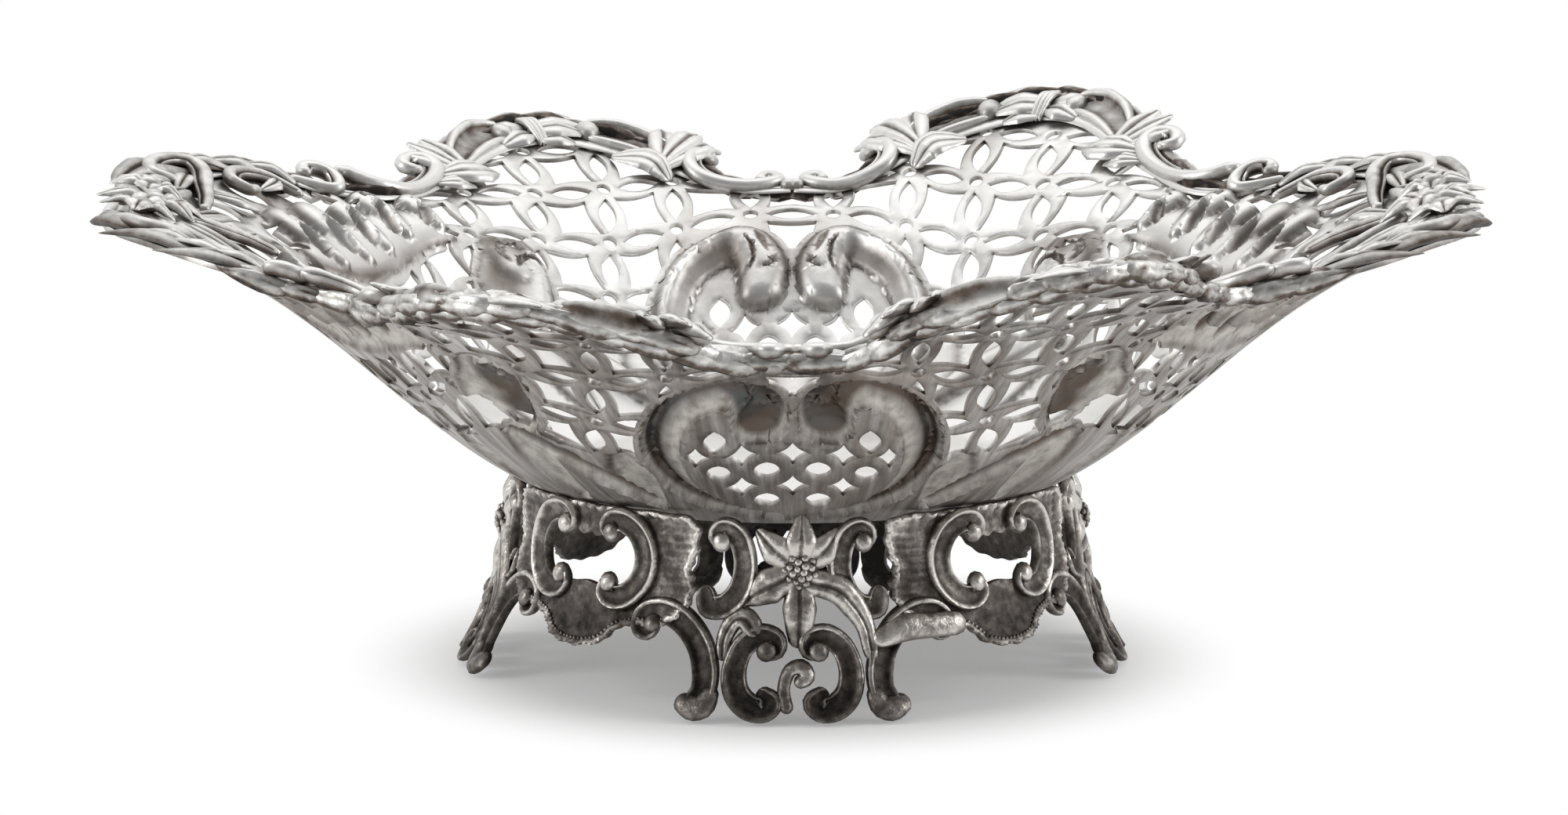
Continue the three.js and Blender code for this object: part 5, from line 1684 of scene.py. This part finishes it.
sheetPlan = {
    "cloud": (75, 5),  # noise: scale and detail
    "wide": (28, 3),
    "fine": (480, 4),
    "grain": (190, 3),
    "rays": (16, 40, 1.6, 5, 0.7),  # streaks down the wall: turns, climb, scale, detail, roughness
    "streak": (0.34, 0.68),  # pairs are the least and most of what is read, then of what it gives
    "dull": (0.38, 0.72),
    "dullShare": 0.5,
    # painted light: the low floor of the bowl is lightened for the light falling in through the open top
    "paintedFloorLight": (0.04, 0.029),  # heights in metres between which the inner floor brightens
    "paintedFloorLightShare": 0.85,
    "outside": (0, 1, 0.5, 1.05),
    "streakShare": 0.5,
    "blotches": ((0.46, 0.66), (0.36, 0.6)),
    "blotchShare": 0.5,
    "slopes": ((0.08, 0.4), (0.9, 0.55), (0.3, 0.62, 0.15, 0.8)),
    "crestPolishAndHighlight": (0.75, 1),
    "crestPolishAndHighlightShare": 0.8,
    "powder": ((0.12, 0.3), (0.7, 0.45), (0.35, 0.6, 0.2, 0.9)),
    "deep": (0.45, 0.72),
    "deepShare": 0.95,
    "blue": (0.52, 0.68),
    "grime": (0.34, 0.62, 0.4, 0.8),
    "specks": ((0.5, 1), (0.45, 0.62, 0, 0.6)),
    "roughness": (0, 2, 0.34, 0.7),
    "bump": (0.3, 0.0004),
}


def sheetMaterial():
    material, tree, shader = newMaterial("silverSheet", Metallic=1)
    plan, tones = sheetPlan, silverTones
    place = addNode(tree, "ShaderNodeTexCoord").outputs["Object"]
    outer, hollow, raised, crease, edge = (
        addNode(tree, "ShaderNodeAttribute", attribute_name=name).outputs["Fac"]
        for name in ("outerSide", "hollow", "raised", "crease", "edge"))
    cloud, wide, fine, grain = (
        noiseNode(tree, place, *plan[name]) for name in ("cloud", "wide", "fine", "grain"))

    def within(value, name, index=None):
        return rangeNode(tree, value, *(plan[name] if index is None else plan[name][index]))

    # the outside is darker than the inside, partly tarnish and partly painted shade for the shadowed table
    # and dark room that it reflects; both have clouds of pinkish brown
    x, y, z = addNode(tree, "ShaderNodeSeparateXYZ", {0: place}).outputs
    turns, climb, *noise = plan["rays"]
    ray = addNode(tree, "ShaderNodeCombineXYZ", {
        0: product(tree, mathNode(tree, "ARCTAN2", x, y), turns), 1: product(tree, z, climb)})
    streak = within(noiseNode(tree, ray.outputs[0], *noise), "streak")
    dull = product(tree, within(cloud, "dull"), plan["dullShare"])
    colour = mixColour(tree, dull, tones["bright"], tones["dull"])
    # painted light on the bowl's floor, near white low down; the same mask also makes it rougher
    paintedFloorLight = product(tree, within(z, "paintedFloorLight"), plan["paintedFloorLightShare"])
    colour = mixColour(tree, paintedFloorLight, colour, tones["paintedFloorLight"])
    colour = mixColour(tree, product(tree, outer, within(streak, "outside")), colour, tones["outside"])
    colour = mixColour(tree, product(tree, outer, streak, plan["streakShare"]), colour, tones["brown"])
    blotch = product(tree, within(wide, "blotches", 0), within(cloud, "blotches", 1), plan["blotchShare"])
    colour = mixColour(tree, blotch, colour, tones["pink"])
    # crests lightened, partly polish and partly painted highlight; brown slopes between crest and ground
    slope = product(tree, within(raised, "slopes", 0), within(raised, "slopes", 1),
                    within(cloud, "slopes", 2))
    colour = mixColour(tree, slope, colour, tones["brown"])
    colour = mixColour(tree, product(tree, within(raised, "crestPolishAndHighlight"), plan["crestPolishAndHighlightShare"]), colour,
                       tones["bright"])
    # hollows of the outside: a powdery pale slope, brown and bluish black in the depth
    powder = product(tree, within(hollow, "powder", 0), within(hollow, "powder", 1))
    colour = mixColour(tree, product(tree, powder, within(fine, "powder", 2)), colour, tones["powder"])
    depth = mixColour(tree, within(cloud, "blue"), tones["channel"], tones["blue"])
    colour = mixColour(tree, product(tree, within(hollow, "deep"), plan["deepShare"]), colour, depth)
    # dirt in creases and here and there on cut edges
    colour = mixColour(tree, product(tree, crease, within(cloud, "grime")), colour, tones["channel"])
    speck = product(tree, within(edge, "specks", 0), within(cloud, "specks", 1))
    colour = mixColour(tree, speck, colour, tones["brown"])
    rough = mathNode(tree, "ADD", mathNode(tree, "ADD", dull, slope), mathNode(tree, "ADD", powder, paintedFloorLight))
    feed(tree, shader, {"Base Color": colour, "Roughness": within(rough, "roughness"),
                        "Normal": grainBump(tree, grain, *plan["bump"])})
    return material


castSkin = {
    "noise": (0.3, 0.7),  # the part of a noise that is read
    "wear": (-0.8, 0.9),  # from the roughest to the smoothest
    "grain": 0.0003,  # metres
}


def wearAndShadeSilver(name, plan):
    # bright where the wear-and-shade mark is high, on worn crests; brown to black where it is low, for patina
    # in recesses and painted shade on undersides and outer flanks; with a grainy skin
    material, tree, shader = newMaterial(name, Metallic=1)
    place = addNode(tree, "ShaderNodeTexCoord").outputs["Object"]
    level = addNode(tree, "ShaderNodeAttribute", attribute_name="wearAndShade").outputs["Fac"]
    cloud, fine = (noiseNode(tree, place, *plan[kind]) for kind in ("cloud", "fine"))
    for noise, reach in ((cloud, plan["cloudReach"]), (fine, plan["fineReach"])):
        level = mathNode(tree, "ADD", level, rangeNode(tree, noise, *castSkin["noise"], *reach))
    # painted shade by height, where a plan asks for it
    if "heightShade" in plan:
        height = addNode(tree, "ShaderNodeSeparateXYZ", {0: place}).outputs["Z"]
        level = mathNode(tree, "ADD", level, rangeNode(tree, height, *plan["heightShade"]))
    colour = plan["tones"][0]
    for (low, high), tone in zip(plan["steps"], plan["tones"][1:]):
        colour = mixColour(tree, rangeNode(tree, level, low, high), colour, tone)
    rough = rangeNode(tree, level, *castSkin["wear"], *plan["roughness"])
    feed(tree, shader, {"Base Color": colour, "Roughness": rough,
                        "Normal": grainBump(tree, fine, plan["bump"], castSkin["grain"])})
    return material


castPlan = {
    "cloud": (90, 4),  # noise: scale and detail
    "fine": (520, 5),
    "cloudReach": (-0.4, 0.3),
    "fineReach": (-0.2, 0.2),
    "tones": [silverTones[tone] for tone in ("black", "brown", "dull", "bright")],
    "steps": [(-1.1, -0.65), (-0.6, -0.15), (-0.1, 0.55)],
    "roughness": (0.6, 0.38),
    "bump": 0.3,
}

# a darker copy of the cast silver for the husk rope and the sprays: patina, and painted shade for the rim's
# outer edge and tips
shadedEdgePlan = {
    "cloud": (150, 4),
    "fine": (600, 5),
    "cloudReach": (-0.7, 0.4),
    "fineReach": (-0.25, 0.25),
    "tones": [silverTones["black"], silverTones["brown"], (0.43, 0.415, 0.39), silverTones["bright"]],
    "steps": [(-1.2, -0.7), (-0.6, -0.1), (-0.05, 0.7)],
    "roughness": (0.6, 0.36),
    "bump": 0.4,
}

footPlan = {
    "heightShade": (0.004, 0.022, -0.3, 0.85),  # painted shade: darker towards the table, lighter towards the bowl; from and to in metres, and what they add
    "cloud": (130, 4),
    "fine": (760, 5),
    "cloudReach": (-0.6, 0.3),
    "fineReach": (-0.55, 0.4),
    "tones": [(0.03, 0.027, 0.025), (0.11, 0.097, 0.087), (0.29, 0.268, 0.245), (0.66, 0.63, 0.59)],
    "steps": [(-1.1, -0.05), (0, 0.7), (0.7, 1.2)],
    "roughness": (0.6, 0.36),
    "bump": 0.75,
}


# Pieces

sheetSilver = sheetMaterial()
castSilver, shadedEdgeSilver, footSilver = (wearAndShadeSilver(name, plan) for name, plan in (
    ("castSilver", castPlan), ("shadedEdgeSilver", shadedEdgePlan), ("footSilver", footPlan)))

bowl = addPiece("bowlSheet", bowlSheet(), sheetSilver, "silver_sheet", "bowl")
print("bowl:", len(bowl.data.polygons), "faces")

for side, signY in (("back", 1), ("front", -1)):
    for end, signX in (("right", 1), ("left", -1)):
        name = f"border_{side}_{end}"
        addPiece(name, sideBorderMesh(name, signX, signY), castSilver, "silver_border", f"side_{name}")
for end, signX in (("right", 1), ("left", -1)):
    tip, flowers = f"tip_{end}", f"spray_{end}"
    addPiece(tip, endBorderMesh(tip, signX), castSilver, "silver_border", f"end_border_{end}")
    addPiece(flowers, sprayMesh(flowers, signX), shadedEdgeSilver, "silver_border", f"flower_spray_{end}")
print("borders and sprays are cast")

for turn, side in enumerate(("front", "right", "back", "left")):
    name = f"cast_leg_{side}"
    addPiece(name, legMesh(name, turn * fullTurn / 4), footSilver, "silver_foot", f"leg_{side}")
for turn, side in enumerate(("front_right", "back_right", "back_left", "front_left")):
    name = f"cast_panel_{side}"
    addPiece(name, panelMesh(name, (turn + 0.5) * fullTurn / 4), footSilver, "silver_foot", f"panel_{side}")
print("foot is cast")

addPiece("husk_rope", spreadForms("husk_rope", curveThrough("rimLines", huskLines()), "husk", shadedEdgeSilver),
         shadedEdgeSilver, "silver_border")
berryMesh = bpy.data.meshes.new("berrySpots")
berryMesh.from_pydata((berryPoints() * mm).tolist(), [], [])
addPiece("leg_berries", spreadForms("leg_berries", berryMesh, "berry", footSilver), footSilver, "silver_foot")
addPiece("panel_dots", spreadForms("panel_dots", curveThrough("panelLines", dotLines()), "dot", footSilver),
         footSilver, "silver_foot")
print("husks, berries and dots are spread")
